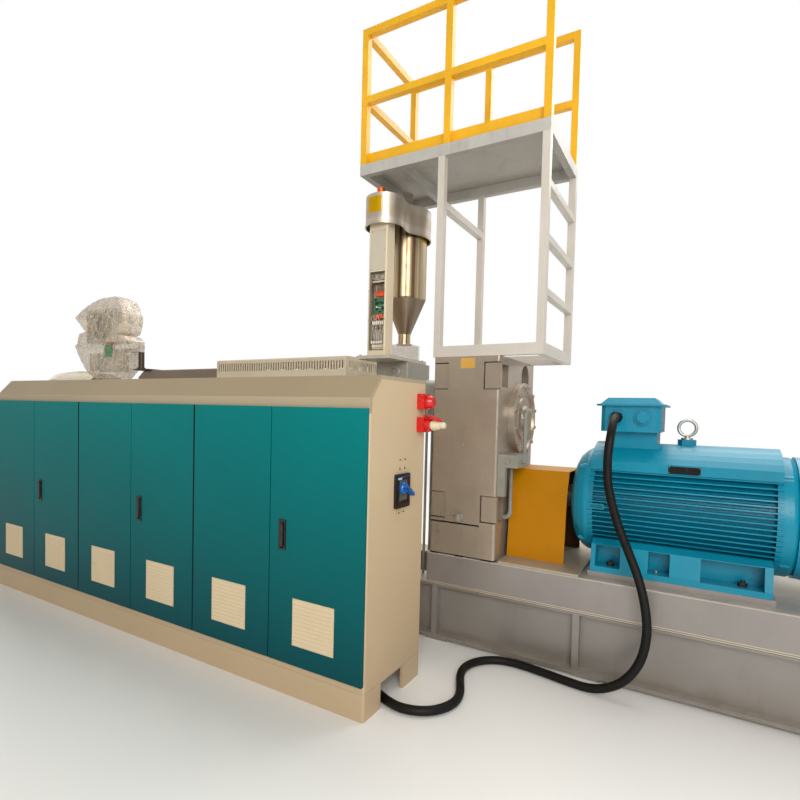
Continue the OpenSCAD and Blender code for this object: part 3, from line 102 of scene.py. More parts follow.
def smooth_line(points, steps):
    """Points on a smooth curve that passes through all the given ones."""
    line = []
    for i in range(len(points) - 1):
        a, b, c, d = (points[max(i - 1, 0)], points[i], points[i + 1], points[min(i + 2, len(points) - 1)])
        for k in range(steps):
            u = k / steps
            line.append(0.5 * (2 * b + (c - a) * u + (2 * a - 5 * b + 4 * c - d) * u * u
                               + (3 * b - a - 3 * c + d) * u ** 3))
    return line + [points[-1]]


def round_line(name, points, radius, sides):
    """A wire, cable or hose: one open spline with a round section and closed ends."""
    data = bpy.data.curves.new(name, "CURVE")
    data.dimensions = "3D"
    data.bevel_depth = radius
    data.bevel_resolution = sides
    data.use_fill_caps = True
    spline = data.splines.new("POLY")
    spline.points.add(len(points) - 1)
    for point, place in zip(spline.points, points):
        point.co = (*place, 1)
    spline.use_smooth = True
    return add(name, data)


# Shader node tools


def fill(tree, node, inputs):
    """Links each input to a socket, or gives it a value."""
    for key, value in inputs.items():
        if isinstance(value, bpy.types.NodeSocket):
            tree.links.new(value, node.inputs[key])
        else:
            triple = node.inputs[key].type == "VECTOR" and not isinstance(value, (int, float))
            node.inputs[key].default_value = value[:3] if triple else value


def put(tree, kind, inputs=None, **settings):
    """Adds a node, sets it up, and links or fills its inputs."""
    node = tree.nodes.new(kind)
    for key, value in settings.items():
        setattr(node, key, value)
    fill(tree, node, inputs or {})
    return node


def figure(tree, operation, first, second=0.0, third=0.0, clamp=False):
    """A sum on up to three numbers."""
    return put(tree, "ShaderNodeMath", {0: first, 1: second, 2: third}, operation=operation,
               use_clamp=clamp).outputs[0]


def vector(tree, operation, first, second, result="Vector"):
    """A sum on two places or directions."""
    return put(tree, "ShaderNodeVectorMath", {0: first, 1: second}, operation=operation).outputs[result]


def scaled(tree, colour, share):
    return put(tree, "ShaderNodeVectorMath", {0: colour, "Scale": share}, operation="SCALE").outputs[0]


def axes(tree, place):
    """The three figures of a place or a direction."""
    return put(tree, "ShaderNodeSeparateXYZ", {0: place}).outputs


def facing(tree):
    """The direction in which the surface looks."""
    return put(tree, "ShaderNodeNewGeometry").outputs["Normal"]


def blend(tree, share, first, second):
    """The first colour where the share is 0, the second where it is 1."""
    return put(tree, "ShaderNodeMix", {0: share, 6: first, 7: second}, data_type="RGBA").outputs[2]


def spread(tree, value, low, high, to_low=0.0, to_high=1.0):
    """A value carried from one range to another and held inside it."""
    return put(tree, "ShaderNodeMapRange", {"Value": value, "From Min": low, "From Max": high,
                                            "To Min": to_low, "To Max": to_high}).outputs[0]


def cloud(tree, place, scale, detail, rough=0.55, stretch=None):
    """Soft uneven patches from 0 to 1."""
    if stretch:
        place = vector(tree, "MULTIPLY", place, stretch)
    return put(tree, "ShaderNodeTexNoise", {"Vector": place, "Scale": scale, "Detail": detail,
                                            "Roughness": rough}).outputs["Fac"]


def cells(tree, place, scale, feature, result):
    """Space broken into flat-sided cells."""
    return put(tree, "ShaderNodeTexVoronoi", {"Vector": place, "Scale": scale},
               feature=feature).outputs[result]


def shader_group(name, inputs, outputs):
    """A node group, with its named inputs and outputs and their kinds."""
    group = bpy.data.node_groups.new(name, "ShaderNodeTree")
    for labels, way in ((inputs, "INPUT"), (outputs, "OUTPUT")):
        for label, kind in labels.items():
            group.interface.new_socket(name=label, in_out=way, socket_type=f"NodeSocket{kind}")
    return group, group.nodes.new("NodeGroupInput").outputs, group.nodes.new("NodeGroupOutput").inputs


def make_area_group():
    """A mask that is 1 inside a box between two corners."""
    group, given, result = shader_group(
        "area_between", {"Place": "Vector", "Low": "Vector", "High": "Vector"}, {"Mask": "Float"})
    over = vector(group, "SUBTRACT", given["Place"], given["Low"])
    under = vector(group, "SUBTRACT", given["High"], given["Place"])
    parts = axes(group, vector(group, "MINIMUM", over, under))
    lowest = figure(group, "MINIMUM", figure(group, "MINIMUM", parts[0], parts[1]), parts[2])
    group.links.new(figure(group, "GREATER_THAN", lowest, 0.0), result["Mask"])
    return group


def make_paint_group():
    """Sprayed paint on steel: uneven tone, runs of dirt, fine specks, and a colour on what faces up, which is
    dust on some paints and painted light, a lighter tint of the paint, on others.
    """
    group, given, result = shader_group(
        "sprayed_paint",
        {"Place": "Vector", "Paint": "Color", "Worn": "Color", "DustAndTopLight": "Color", "Size": "Float",
         "Uneven": "Float", "Wear": "Float", "Settled": "Float", "Gloss": "Float", "Peel": "Float"},
        {"Colour": "Color", "Roughness": "Float", "Height": "Float"})
    place, size = given["Place"], given["Size"]
    soft = cloud(group, place, size, 4)
    tone = spread(group, soft, 0.3, 0.7, -1.0, 1.0)
    tone = figure(group, "MULTIPLY_ADD", tone, given["Uneven"], 1.0)
    runs = cloud(group, place, figure(group, "MULTIPLY", size, 7.0), 5, 0.6, (1, 1, 0.14))
    patches = cloud(group, place, figure(group, "MULTIPLY", size, 1.7), 6, 0.7)
    runs = figure(group, "MULTIPLY", spread(group, runs, 0.5, 0.75), spread(group, patches, 0.42, 0.68))
    runs = figure(group, "MULTIPLY", runs, given["Wear"], clamp=True)
    specks = spread(group, cloud(group, place, 140.0, 2, 0.6), 0.68, 0.74)
    specks = figure(group, "MULTIPLY", specks, figure(group, "MULTIPLY", spread(group, patches, 0.45, 0.6),
                                                      given["Wear"]), clamp=True)
    worn = blend(group, figure(group, "MAXIMUM", runs, specks), scaled(group, given["Paint"], tone),
                 given["Worn"])
    flat = spread(group, axes(group, facing(group))[2], 0.55, 0.98)
    lying = spread(group, cloud(group, place, 9.0, 5, 0.65), 0.35, 0.65, 0.35)
    settled = figure(group, "MULTIPLY", figure(group, "MULTIPLY", flat, lying), given["Settled"], clamp=True)
    group.links.new(blend(group, settled, worn, given["DustAndTopLight"]), result["Colour"])
    rough = figure(group, "MULTIPLY_ADD", figure(group, "ADD", settled, runs), 0.35, given["Gloss"])
    rough = figure(group, "MULTIPLY_ADD", tone, 0.06, rough)
    group.links.new(figure(group, "SUBTRACT", rough, 0.06, clamp=True), result["Roughness"])
    fine = cloud(group, place, 320.0, 2, 0.5)
    wavy = cloud(group, place, 22.0, 2, 0.5)
    height = figure(group, "MULTIPLY", figure(group, "MULTIPLY_ADD", wavy, 2.2, fine), given["Peel"])
    group.links.new(figure(group, "MULTIPLY_ADD", specks, -0.4, height), result["Height"])
    return group


def make_steel_group():
    """Bare steel drawn or brushed in one direction, with broad stripes of another tint: painted reflections."""
    group, given, result = shader_group(
        "drawn_steel", {"Place": "Vector", "Steel": "Color", "Tint": "Color", "Along": "Vector",
                        "Stripes": "Float", "Gloss": "Float"},
        {"Colour": "Color", "Roughness": "Float", "Height": "Float"})
    drawn = vector(group, "MULTIPLY", given["Place"], given["Along"])
    hair = cloud(group, drawn, 6.0, 3, 0.6)
    broad = cloud(group, drawn, 0.16, 2, 0.4)
    smudge = cloud(group, given["Place"], 7.0, 5, 0.65)
    share = figure(group, "MULTIPLY", spread(group, broad, 0.42, 0.6), given["Stripes"], clamp=True)
    tinted = blend(group, share, given["Steel"], given["Tint"])
    group.links.new(scaled(group, tinted, spread(group, hair, 0.25, 0.75, 0.88, 1.08)), result["Colour"])
    rough = figure(group, "MULTIPLY_ADD", spread(group, smudge, 0.4, 0.65), 0.14, given["Gloss"])
    group.links.new(figure(group, "MULTIPLY_ADD", hair, 0.1, rough, clamp=True), result["Roughness"])
    group.links.new(hair, result["Height"])
    return group


def make_cast_group():
    """Sand-cast skin under thick paint: small pits and soft lumps."""
    group, given, result = shader_group(
        "cast_skin", {"Place": "Vector", "Grit": "Float", "Lumps": "Float"}, {"Height": "Float"})
    grit = cloud(group, given["Place"], 210.0, 3, 0.6)
    lumps = cloud(group, given["Place"], 38.0, 3, 0.5)
    height = figure(group, "ADD", figure(group, "MULTIPLY", grit, given["Grit"]),
                    figure(group, "MULTIPLY", lumps, given["Lumps"]))
    group.links.new(height, result["Height"])
    return group


AREA = make_area_group()
PAINT = make_paint_group()
STEEL = make_steel_group()
CAST = make_cast_group()


def start(name):
    """A new material with its tree, its shader and its place on the piece."""
    material =bpy.data.materials.new(name)
    material.use_nodes = True
    tree = material.node_tree
    place = put(tree, "ShaderNodeTexCoord").outputs["Object"]
    return material, tree, tree.nodes["Principled BSDF"], place


def paint_areas(tree, place, colour, areas):
    """Other colours on parts of a piece, each between two corners."""
    for low, high, other in areas:
        mask = put(tree, "ShaderNodeGroup", {"Place": place, "Low": low, "High": high}, node_tree=AREA)
        colour = blend(tree, mask.outputs["Mask"], colour, other)
    return colour


def raise_surface(tree, shader, height, depth):
    bump = put(tree, "ShaderNodeBump", {"Height": height, "Distance": depth, "Strength": 1.0})
    fill(tree, shader, {"Normal": bump.outputs["Normal"]})


def painted(name, paint, worn=rgb(96, 84, 66), dust=rgb(160, 150, 132), size=2.0, uneven=0.10, wear=0.3,
            settled=0.25, gloss=0.38, peel=0.3, depth=0.0004, cast=None, areas=(), coat=0.0, over=None,
            metallic=0.0, shine=0.5):
    """Painted metal. Size is in spots per metre, depth in metres; the other figures are shares."""
    material, tree, shader, place = start(name)
    colour = paint_areas(tree, place, paint, areas)
    if over:
        colour = over(tree, place, colour)
    skin = put(tree, "ShaderNodeGroup", {
        "Place": place, "Paint": colour, "Worn": worn, "DustAndTopLight": dust, "Size": size, "Uneven": uneven,
        "Wear": wear, "Settled": settled, "Gloss": gloss, "Peel": peel}, node_tree=PAINT).outputs
    height = skin["Height"]
    if cast:
        rough = put(tree, "ShaderNodeGroup", {"Place": place, "Grit": cast[0], "Lumps": cast[1]},
                    node_tree=CAST)
        height = figure(tree, "ADD", height, rough.outputs["Height"])
    fill(tree, shader, {"Base Color": skin["Colour"], "Roughness": skin["Roughness"],
                        "Metallic": metallic, "Specular IOR Level": shine, "Coat Weight": coat,
                        "Coat Roughness": 0.12})
    raise_surface(tree, shader, height, depth)
    return material


def bare_steel(name, steel, tint, along=(60, 60, 1.5), stripes=0.3, gloss=0.26, metallic=1.0,
               depth=0.00008, areas=(), round_axis=None):
    """Bare steel, its fine lines drawn straight or round an upright axis."""
    material, tree, shader, place = start(name)
    drawn = place
    if round_axis:
        parts = axes(tree, vector(tree, "SUBTRACT", place, round_axis))
        angle = figure(tree, "MULTIPLY", figure(tree, "ARCTAN2", parts[1], parts[0]), 0.2)
        drawn = put(tree, "ShaderNodeCombineXYZ", {0: angle, 1: 0.0, 2: parts[2]}).outputs[0]
    skin = put(tree, "ShaderNodeGroup", {"Place": drawn, "Steel": steel, "Tint": tint, "Along": along,
                                         "Stripes": stripes, "Gloss": gloss}, node_tree=STEEL).outputs
    fill(tree, shader, {"Base Color": paint_areas(tree, place, skin["Colour"], areas),
                        "Roughness": skin["Roughness"], "Metallic": metallic})
    raise_surface(tree, shader, skin["Height"], depth)
    return material


def moulded(name, colour, gloss=0.35, grain=0.00015, scale=420.0, uneven=0.12, coat=0.0, areas=(),
            dust=0.22, shine=0.5):
    """Moulded plastic, rubber or a thick dipped coat, with fine grain and greasy patches."""
    material, tree, shader, place = start(name)
    soft = cloud(tree, place, 12.0, 4, 0.6)
    toned = scaled(tree, paint_areas(tree, place, colour, areas),
                   spread(tree, soft, 0.3, 0.7, 1 - uneven, 1 + uneven))
    dusty = spread(tree, cloud(tree, place, 55.0, 5, 0.7), 0.5, 0.8, 0.0, dust)
    fill(tree, shader, {"Base Color": blend(tree, dusty, toned, rgb(150, 142, 128)),
                        "Roughness": spread(tree, soft, 0.35, 0.7, gloss - 0.06, gloss + 0.16),
                        "Coat Weight": coat, "Specular IOR Level": shine})
    raise_surface(tree, shader, cloud(tree, place, scale, 3, 0.6), grain)
    return material


def clear_sheet(name, tint, alpha, gloss, crinkle, scale, depth, stretch=(1, 1, 1), areas=()):
    """Clear plastic: crumpled facets, each with its own painted shade, and painted highlights along the sharp
    folds between them, where the film is also milkier.
    """
    material, tree, shader, place = start(name)
    shaken = put(tree, "ShaderNodeTexNoise", {"Vector": place, "Scale": 24.0, "Detail": 2.0}).outputs["Color"]
    shaken = scaled(tree, vector(tree, "SUBTRACT", shaken, (0.5, 0.5, 0.5)), 0.045)
    pulled = vector(tree, "MULTIPLY", vector(tree, "ADD", place, shaken), stretch)
    folds = cells(tree, pulled, scale, "DISTANCE_TO_EDGE", "Distance")
    small = cells(tree, pulled, scale * 2.3, "DISTANCE_TO_EDGE", "Distance")
    facet = axes(tree, cells(tree, pulled, scale, "F1", "Color"))[0]
    ridge = figure(tree, "MAXIMUM", spread(tree, folds, 0.0, 0.045, 1.0, 0.0),
                   spread(tree, small, 0.0, 0.045, 0.7, 0.0))
    # Painted shade that differs from facet to facet, and near-white painted highlights along the ridges
    toned = scaled(tree, tint, spread(tree, facet, 0.0, 1.0, 1.0 - 0.6 * crinkle, 1.04))
    toned = blend(tree, figure(tree, "MULTIPLY", ridge, crinkle), toned, rgb(250, 246, 238))
    milky = spread(tree, facet, 0.0, 1.0, alpha, alpha + 0.3 * crinkle)
    milky = figure(tree, "MULTIPLY_ADD", ridge, crinkle, milky)
    fill(tree, shader, {"Base Color": paint_areas(tree, place, toned, areas),
                        "Alpha": figure(tree, "MINIMUM", milky, 0.96),
                        "Roughness": spread(tree, facet, 0.0, 1.0, gloss, gloss + 0.24 * crinkle),
                        "Coat Weight": 0.5, "Coat Roughness": 0.06})
    raise_surface(tree, shader, figure(tree, "MULTIPLY_ADD", small, 0.45, folds), depth)
    return material


def dress(material, *nodes):
    """Gives a material to pieces of the frame."""
    for node in nodes:
        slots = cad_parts[node].data.materials
        slots.clear()
        slots.append(material)


# Base, gearbox, drive and motor

BLUE = rgb(0, 136, 166)
GAP_SHADE = rgb(20, 18, 16)
FLANGE_LINE = rgb(206, 192, 162)


def stained_below(tree, place, colour):
    """Stains that rise from the floor."""
    low = spread(tree, axes(tree, place)[2], 0.0, 0.24, 0.55, 0.0)
    rough = spread(tree, cloud(tree, place, 5.0, 5, 0.7), 0.3, 0.7)
    return blend(tree, figure(tree, "MULTIPLY", low, rough, clamp=True), colour, rgb(126, 112, 92))


def stripe(left, low, high, colour):
    """A level stripe along the base between two heights, as far as its right end."""
    return at(left, -560, low), at(2200, 560, high), colour


dress(painted("beam_grey_paint", rgb(142, 138, 134), size=1.3, uneven=0.12, wear=0.4, settled=0.5,
              dust=rgb(196, 188, 174), gloss=0.3, peel=0.6, over=stained_below, metallic=0.3,
              areas=[stripe(-6100, 401, 405, FLANGE_LINE), stripe(-6100, 397, 400, rgb(92, 82, 70))]),
      "base_beams", "base_ties")
dress(painted("box_grey_paint", rgb(150, 145, 142), size=1.6, uneven=0.12, wear=0.3, settled=0.6,
              dust=rgb(206, 200, 188), gloss=0.28, peel=0.7, metallic=0.35,
              areas=[stripe(-600, 413, 417, FLANGE_LINE), stripe(-600, 612, 619, rgb(196, 190, 178))]),
      "base_box")
GEAR_LEFT, GEAR_RIGHT, GEAR_FOOT, GEAR_TOP = -485, 0, 845, 2000
RECESS_WIDE, RECESS_HIGH, RECESS_RIM = 105, 185, 9
LINE_WIDE = 6


def gearbox_marks():
    """Painted shade in the open joints and along the edges of the recesses, and a bare brass plate at the top.
    """
    left, right, front, inner = GEAR_LEFT - 1, GEAR_RIGHT + 1, -450.5, -435
    yield at(left, -451, 844.5), at(-115, -437.5, 855.3), GAP_SHADE
    yield at(left, -451, 619), at(right, -389, 630.2), GAP_SHADE
    first, second = GEAR_LEFT + RECESS_WIDE + RECESS_RIM, GEAR_RIGHT - RECESS_WIDE - RECESS_RIM
    for low in (GEAR_FOOT + 30, GEAR_TOP - 40 - RECESS_HIGH):
        high = low + RECESS_HIGH
        for x0, x1 in ((first - LINE_WIDE, first), (second, second + LINE_WIDE)):
            yield at(x0, front, low), at(x1, inner, high), GAP_SHADE
        for x0, x1 in ((left, first), (second, right)):
            yield at(x0, front, low), at(x1, inner, low + LINE_WIDE), GAP_SHADE
            yield at(x0, front, high - LINE_WIDE), at(x1, inner, high), GAP_SHADE
    yield at(-282, -452, 1919), at(-177, -449, 1989), rgb(226, 178, 88)


dress(painted("gearbox_grey_paint", rgb(164, 152, 138), size=2.4, uneven=0.12, wear=0.45, settled=0.35,
              worn=rgb(112, 100, 80), gloss=0.22, peel=1.0, cast=(0.4, 0.9), depth=0.0006, coat=0.2,
              metallic=0.4, areas=gearbox_marks()), "gearbox_housing", "gearbox_plinth", "bearing_cover")
dress(painted("guard_plate_worn", rgb(176, 166, 148), size=3, wear=0.6, settled=0.4, gloss=0.34,
              worn=rgb(118, 98, 66), metallic=0.3), "guard_plate")
dress(painted("oil_pipe_paint", rgb(140, 140, 132), size=6, wear=0.5, gloss=0.3), "oil_pipes")


def guard_inside(tree, place, colour):
    """The guard's sheet is a darker brown on the faces that look inwards."""
    inward = vector(tree, "SUBTRACT", at(200, 0, 1056), place)
    inward = vector(tree, "MULTIPLY", inward, (0, 1, 1))
    inside = vector(tree, "DOT_PRODUCT", inward, facing(tree), "Value")
    return blend(tree, figure(tree, "GREATER_THAN", inside, 0.02), colour, rgb(92, 60, 34))


# The dust colour on this paint is a lighter amber on faces that look up: painted light on the guard's top.
dress(painted("guard_amber_paint", rgb(184, 122, 0), size=2.2, uneven=0.09, wear=0.22, settled=0.2,
              worn=rgb(128, 84, 10), dust=rgb(200, 144, 30), gloss=0.36, peel=0.5, over=guard_inside,
              shine=0.2), "coupling_guard")
dress(bare_steel("coupling_steel", rgb(150, 148, 146), rgb(92, 78, 64), (3, 60, 60), 0.6, 0.34),
      "drive_coupling")
# The pockets in the motor's feet, by their middles, painted dark inside: the dark bolts in them and painted
# shade in the pockets round the bolts
FOOT_POCKETS = (706, 1391)
# The dust colour on this paint is a lighter blue on faces that look up: painted light, not dust.
dress(painted("motor_blue_paint", BLUE, size=2.6, uneven=0.10, wear=0.22, worn=rgb(6, 74, 96),
              dust=rgb(40, 150, 180), settled=0.25, gloss=0.3, peel=0.8, cast=(0.4, 0.8), depth=0.0005,
              coat=0.05, shine=0.35, areas=[(at(x - 27, -347, 691.4), at(x + 27, -293, 770), rgb(34, 24, 18))
                                            for x in FOOT_POCKETS]),
      "motor_frame", "motor_shield", "motor_rear_shield")
# The dust colour on this paint is a lighter blue on faces that look up: painted light, not dust.
dress(painted("sheet_blue_paint", rgb(0, 138, 170), size=3, uneven=0.08, wear=0.2, worn=rgb(6, 82, 104),
              dust=rgb(50, 156, 184), gloss=0.26, peel=0.5, coat=0.15),
      "fan_cowl", "terminal_box", "terminal_lid", "cable_gland")
dress(bare_steel("eye_steel", rgb(196, 196, 196), rgb(120, 112, 100), (30, 30, 30), 0.4, 0.3),
      "lifting_eyes")

# Barrel, covers and die

dress(painted("feed_section_paint", rgb(160, 158, 150), size=3, wear=0.5, worn=rgb(106, 92, 70), gloss=0.32,
              peel=0.9, cast=(0.5, 0.8)), "feed_section")
dress(bare_steel("heater_band_steel", rgb(168, 160, 148), rgb(128, 92, 58), (2, 40, 40), 0.7, 0.36),
      "barrel")
dress(painted("slotted_cover_paint", rgb(214, 203, 180), size=2, uneven=0.05, wear=0.14, settled=0.3,
              gloss=0.4, peel=0.5), "barrel_cover_rear")
# The front cover's dark brown-grey is painted shade: a cover lying in shadow, painted darker than the slotted
# one.
dress(painted("front_cover_shade_paint", rgb(126, 113, 100), size=2, uneven=0.06, wear=0.16, settled=0.3,
              gloss=0.42, peel=0.5), "barrel_cover_front")
dress(painted("stand_paint", rgb(168, 166, 158), size=3, wear=0.35, gloss=0.4, peel=0.6),
      "barrel_stands", "head_stand")
dress(bare_steel("die_steel", rgb(176, 172, 166), rgb(128, 104, 76), (3, 46, 46), 0.55, 0.3), "die_head")

# Feeder

HOPPER_X = -990  # the hopper's axis
FEEDER_Z = 2030  # the plate's top
STICKER_YELLOW = rgb(214, 172, 18)
dress(painted("feeder_plate_paint", rgb(196, 192, 182), size=5, wear=0.4, settled=0.5, gloss=0.34),
      "feeder_plate")
# The second area darkens the inside of the open bay: painted shade in the bay.
dress(painted("column_cream_paint", rgb(228, 212, 184), size=2.5, uneven=0.05, wear=0.14, settled=0.2,
              gloss=0.36, peel=0.4,
              areas=[(at(-1056.5, -440, 2667), at(-923.5, -428, 2971), rgb(206, 198, 180)),
                     (at(-1057, -430, 2069), at(-923, -366, 2661), rgb(158, 148, 130))]), "feeder_column")
# The hopper's broad brown stripes are painted reflections, and the cone's darker, greyer tint is painted shade.
dress(bare_steel("hopper_steel", rgb(208, 194, 166), rgb(104, 78, 50), (110, 1, 0.2), 0.9, 0.26,
                 round_axis=at(HOPPER_X, 0, 0), depth=0.00002,
                 areas=[(at(-832, -46, 2968), at(-815, 34, 3018), STICKER_YELLOW),
                        (at(-1165, -175, 2247), at(-815, 175, 2519), rgb(152, 138, 122))]), "feeder_hopper")
dress(bare_steel("cap_steel", rgb(206, 200, 190), rgb(150, 126, 98), (3, 3, 80), 0.35, 0.3,
                 areas=[(at(-1040, -430, 3227), at(-950, -350, 3310), rgb(226, 104, 34)),
                        (at(-1055, -500, 3084), at(-940, -440, 3200), STICKER_YELLOW)]), "feeder_cap")
dress(moulded("hose_rubber", rgb(150, 140, 124), 0.4), "hose_stub")
BOARD_BACK = -374.8
# Left edge from the hopper's axis, low edge over the plate, width, height, depth and colour
BOARD_PARTS = {
    "top_strip": (-56, 548, 112, 26, 22, rgb(48, 48, 46)),
    "relays_high": (-24, 452, 78, 36, 30, rgb(236, 84, 34)),
    "green_board": (-56, 322, 112, 120, 10, rgb(58, 122, 92)),
    "relays_low": (-24, 282, 78, 34, 30, rgb(236, 84, 34)),
    "plug_row": (-56, 212, 112, 34, 26, rgb(92, 84, 74)),
    "supply": (-34, 118, 66, 72, 40, rgb(150, 146, 138)),
    "low_strip": (-56, 52, 112, 30, 22, rgb(216, 206, 184))}


def board_areas():
    """The colour of each part on the boards, round its whole block."""
    for x, z, wide, high, _, colour in BOARD_PARTS.values():
        yield (at(HOPPER_X + x - 1, -450, FEEDER_Z + z - 1),
               at(HOPPER_X + x + wide + 1, BOARD_BACK - 0.2, FEEDER_Z + z + high + 1), colour)


dress(moulded("board_parts", rgb(176, 168, 150), 0.4, areas=board_areas()), "control_board")
dress(clear_sheet("box_clear_plastic", rgb(196, 182, 162), 0.28, 0.06, 0.0, 5.0, 0.0), "sight_box")

# Platform


def deck_faces(tree, place, colour):
    """The chequered sheet seen from below, between its white edge beams."""
    down = figure(tree, "LESS_THAN", axes(tree, facing(tree))[2], -0.5)
    return blend(tree, down, colour, rgb(164, 158, 150))


dress(painted("tube_white_paint", rgb(210, 204, 195), size=2, uneven=0.06, wear=0.2, settled=0.25,
              worn=rgb(140, 128, 110), gloss=0.34, peel=0.5), "platform_frame", "platform_rungs")
dress(painted("deck_paint", rgb(190, 188, 182), size=2, wear=0.4, settled=0.4, gloss=0.4,
              over=deck_faces), "platform_deck")
dress(painted("rail_yellow_paint", rgb(240, 182, 30), size=3, wear=0.2, worn=rgb(150, 110, 40), gloss=0.3),
      "platform_rail")

# Cabinets

CREAM = rgb(212, 190, 156)


def darker_below(tree, place, colour):
    """Paint that is darker and browner towards the floor."""
    return blend(tree, spread(tree, axes(tree, place)[2], 0.1, 1.3, 0.42, 0.0), colour, rgb(150, 126, 96))


def roof_painted_shade(tree, place, colour):
    """The sloping edge and the top, which look up, are painted darker than the strip over the doors: painted
    shade.
    """
    upward = figure(tree, "GREATER_THAN", axes(tree, facing(tree))[2], 0.3)
    return blend(tree, upward, rgb(178, 163, 136), rgb(158, 143, 116))


dress(painted("cabinet_cream_paint", CREAM, size=1.2, uneven=0.035, wear=0.08, settled=0.15,
              worn=rgb(176, 158, 126), dust=rgb(206, 194, 170), gloss=0.42, peel=0.9, depth=0.00035,
              shine=0.35, over=darker_below), "cabinet_plinth", "cabinet_back", "cabinet_end", "cabinet_walls")
dress(painted("roof_cream_paint", CREAM, size=1.2, uneven=0.035, wear=0.08, settled=0.1,
              dust=rgb(180, 166, 140), gloss=0.42, peel=0.9, depth=0.00035, over=roof_painted_shade), "cabinet_roof")
dress(bare_steel("zinc_sheet", rgb(190, 192, 192), rgb(160, 158, 146), (9, 9, 9), 0.5, 0.38, 0.9),
      "mounting_plates")

VENT_FACE = -1576.9  # just outside the leaves' faces
# Where the pairs of doors meet each other, dark on the leaves' edges
PAIR_JOINTS = (-1588, -2888)


def louvre_cream(tree, place, colour):
    """The leaf darkens towards the floor; the vents, which stand proud of it, are cream."""
    parts = axes(tree, place)
    proud = figure(tree, "LESS_THAN", parts[1], at(0, VENT_FACE, 0)[1])
    leaf = blend(tree, spread(tree, parts[2], 0.1, 1.6, 0.9, 0.0), colour, rgb(0, 56, 66))
    return blend(tree, proud, leaf, rgb(214, 196, 164))


dress(painted("door_teal_paint", rgb(0, 121, 122), size=1.1, uneven=0.05, wear=0.08, settled=0.1,
              worn=rgb(0, 84, 86), dust=rgb(20, 120, 120), gloss=0.4, peel=0.8, depth=0.0003,
              over=louvre_cream, shine=0.12,
              areas=[(at(x - 7, -1600, 140), at(x + 7, -1500, 1700), rgb(22, 34, 34))
                     for x in PAIR_JOINTS]), *(f"cabinet_door_{i}" for i in range(1, 7)))
dress(moulded("handle_black", rgb(24, 24, 26), 0.32), *(f"door_handle_{i}" for i in range(1, 4)))
# Bare fields on the breaker's face: left and right edge, low and high edge
BREAKER_FIELDS = [(at(-270, y0, z0), at(-255, y1, z1), colour) for y0, y1, z0, z1, colour in (
    (-1300, -1140, 1248, 1262, rgb(40, 96, 170)), (-1276, -1196, 1120, 1232, rgb(92, 92, 88)),
    (-1292, -1252, 1236, 1246, rgb(190, 200, 204)), (-1252, -1232, 1206, 1222, rgb(120, 214, 190)))]
dress(moulded("breaker_case", rgb(30, 24, 28), 0.3, areas=BREAKER_FIELDS, dust=0.08), "breaker_box")
dress(moulded("lever_blue_plastic", rgb(20, 96, 176), 0.25, coat=0.3), "breaker_lever")
dress(moulded("socket_red_plastic", rgb(206, 8, 12), 0.25, coat=0.3), "wall_sockets")
dress(moulded("plug_cream_plastic", rgb(226, 218, 188), 0.3, coat=0.2), "socket_plug")

# Operator's panel

dress(painted("post_dark_paint", rgb(56, 38, 30), size=5, wear=0.3, gloss=0.35,
              areas=[(at(-4760, -370, 2178), at(-3990, -230, 2240), rgb(196, 190, 182))]), "panel_post")
dress(painted("panel_grey_paint", rgb(196, 194, 188), size=3, wear=0.1, gloss=0.35,
              areas=[(at(-4860, -412, 2339), at(-4430, -405.8, 2621), rgb(38, 44, 48))]), "operator_panel")

# Making new pieces


def select_only(*pieces):
    """Selects these pieces and nothing else; the first one is the one worked on."""
    bpy.ops.object.select_all(action="DESELECT")
    for piece in pieces:
        piece.select_set(True)
    bpy.context.view_layer.objects.active = pieces[0]


def finish_piece(piece, name, material, body="frame", smooth=None):
    """Names a piece, gives it its one material and its body, and smooths its shallow edges."""
    piece.name = piece.data.name = name
    piece.data.materials.clear()
    piece.data.materials.append(material)
    if smooth:
        select_only(piece)
        bpy.ops.object.shade_smooth_by_angle(angle=radians(smooth))
    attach(piece, body)
    return piece


def primitive(kind, **sizes):
    """A new primitive, the only thing selected, with its place and size in its mesh."""
    bpy.ops.object.select_all(action="DESELECT")
    getattr(bpy.ops.mesh, f"primitive_{kind}_add")(**sizes)
    bpy.ops.object.transform_apply(location=True, rotation=True, scale=True)
    return bpy.context.object


def bevelled(piece, width, steps=2):
    """The selected piece with all its edges rounded."""
    bpy.ops.object.mode_set(mode="EDIT")
    bpy.ops.mesh.select_all(action="SELECT")
    bpy.ops.mesh.bevel(offset=width, segments=steps)
    bpy.ops.object.mode_set(mode="OBJECT")
    return piece


def soft_block(low, high, edge, steps=2):
    """A block between two places, its edges rounded."""
    low, high = at(*low), at(*high)
    return bevelled(primitive("cube", size=1, location=(low + high) / 2, scale=high - low), edge, steps)


def round_head(place, radius, height, turn=(pi / 2, 0, 0)):
    """A low round head, such as a screw's or a button's, with a rounded rim."""
    return bevelled(primitive("cylinder", vertices=20, radius=radius / 1000, depth=height / 1000,
                              location=at(*place), rotation=turn), min(radius, height) * 0.25 / 1000)


def moved_copy(piece, step):
    """A copy with a mesh of its own, moved by a step in millimetres."""
    twin = piece.copy()
    twin.data = piece.data.copy()
    twin.data.transform(Matrix.Translation(Vector(step) / 1000))
    bpy.context.collection.objects.link(twin)
    return twin


def joined(pieces):
    select_only(*pieces)
    if len(pieces) > 1:
        bpy.ops.object.join()
    return pieces[0]


def as_mesh(curve):
    select_only(curve)
    bpy.ops.object.convert(target="MESH")
    return bpy.context.object


# Motor cable, from its gland down to the floor and into the cabinets' plinth

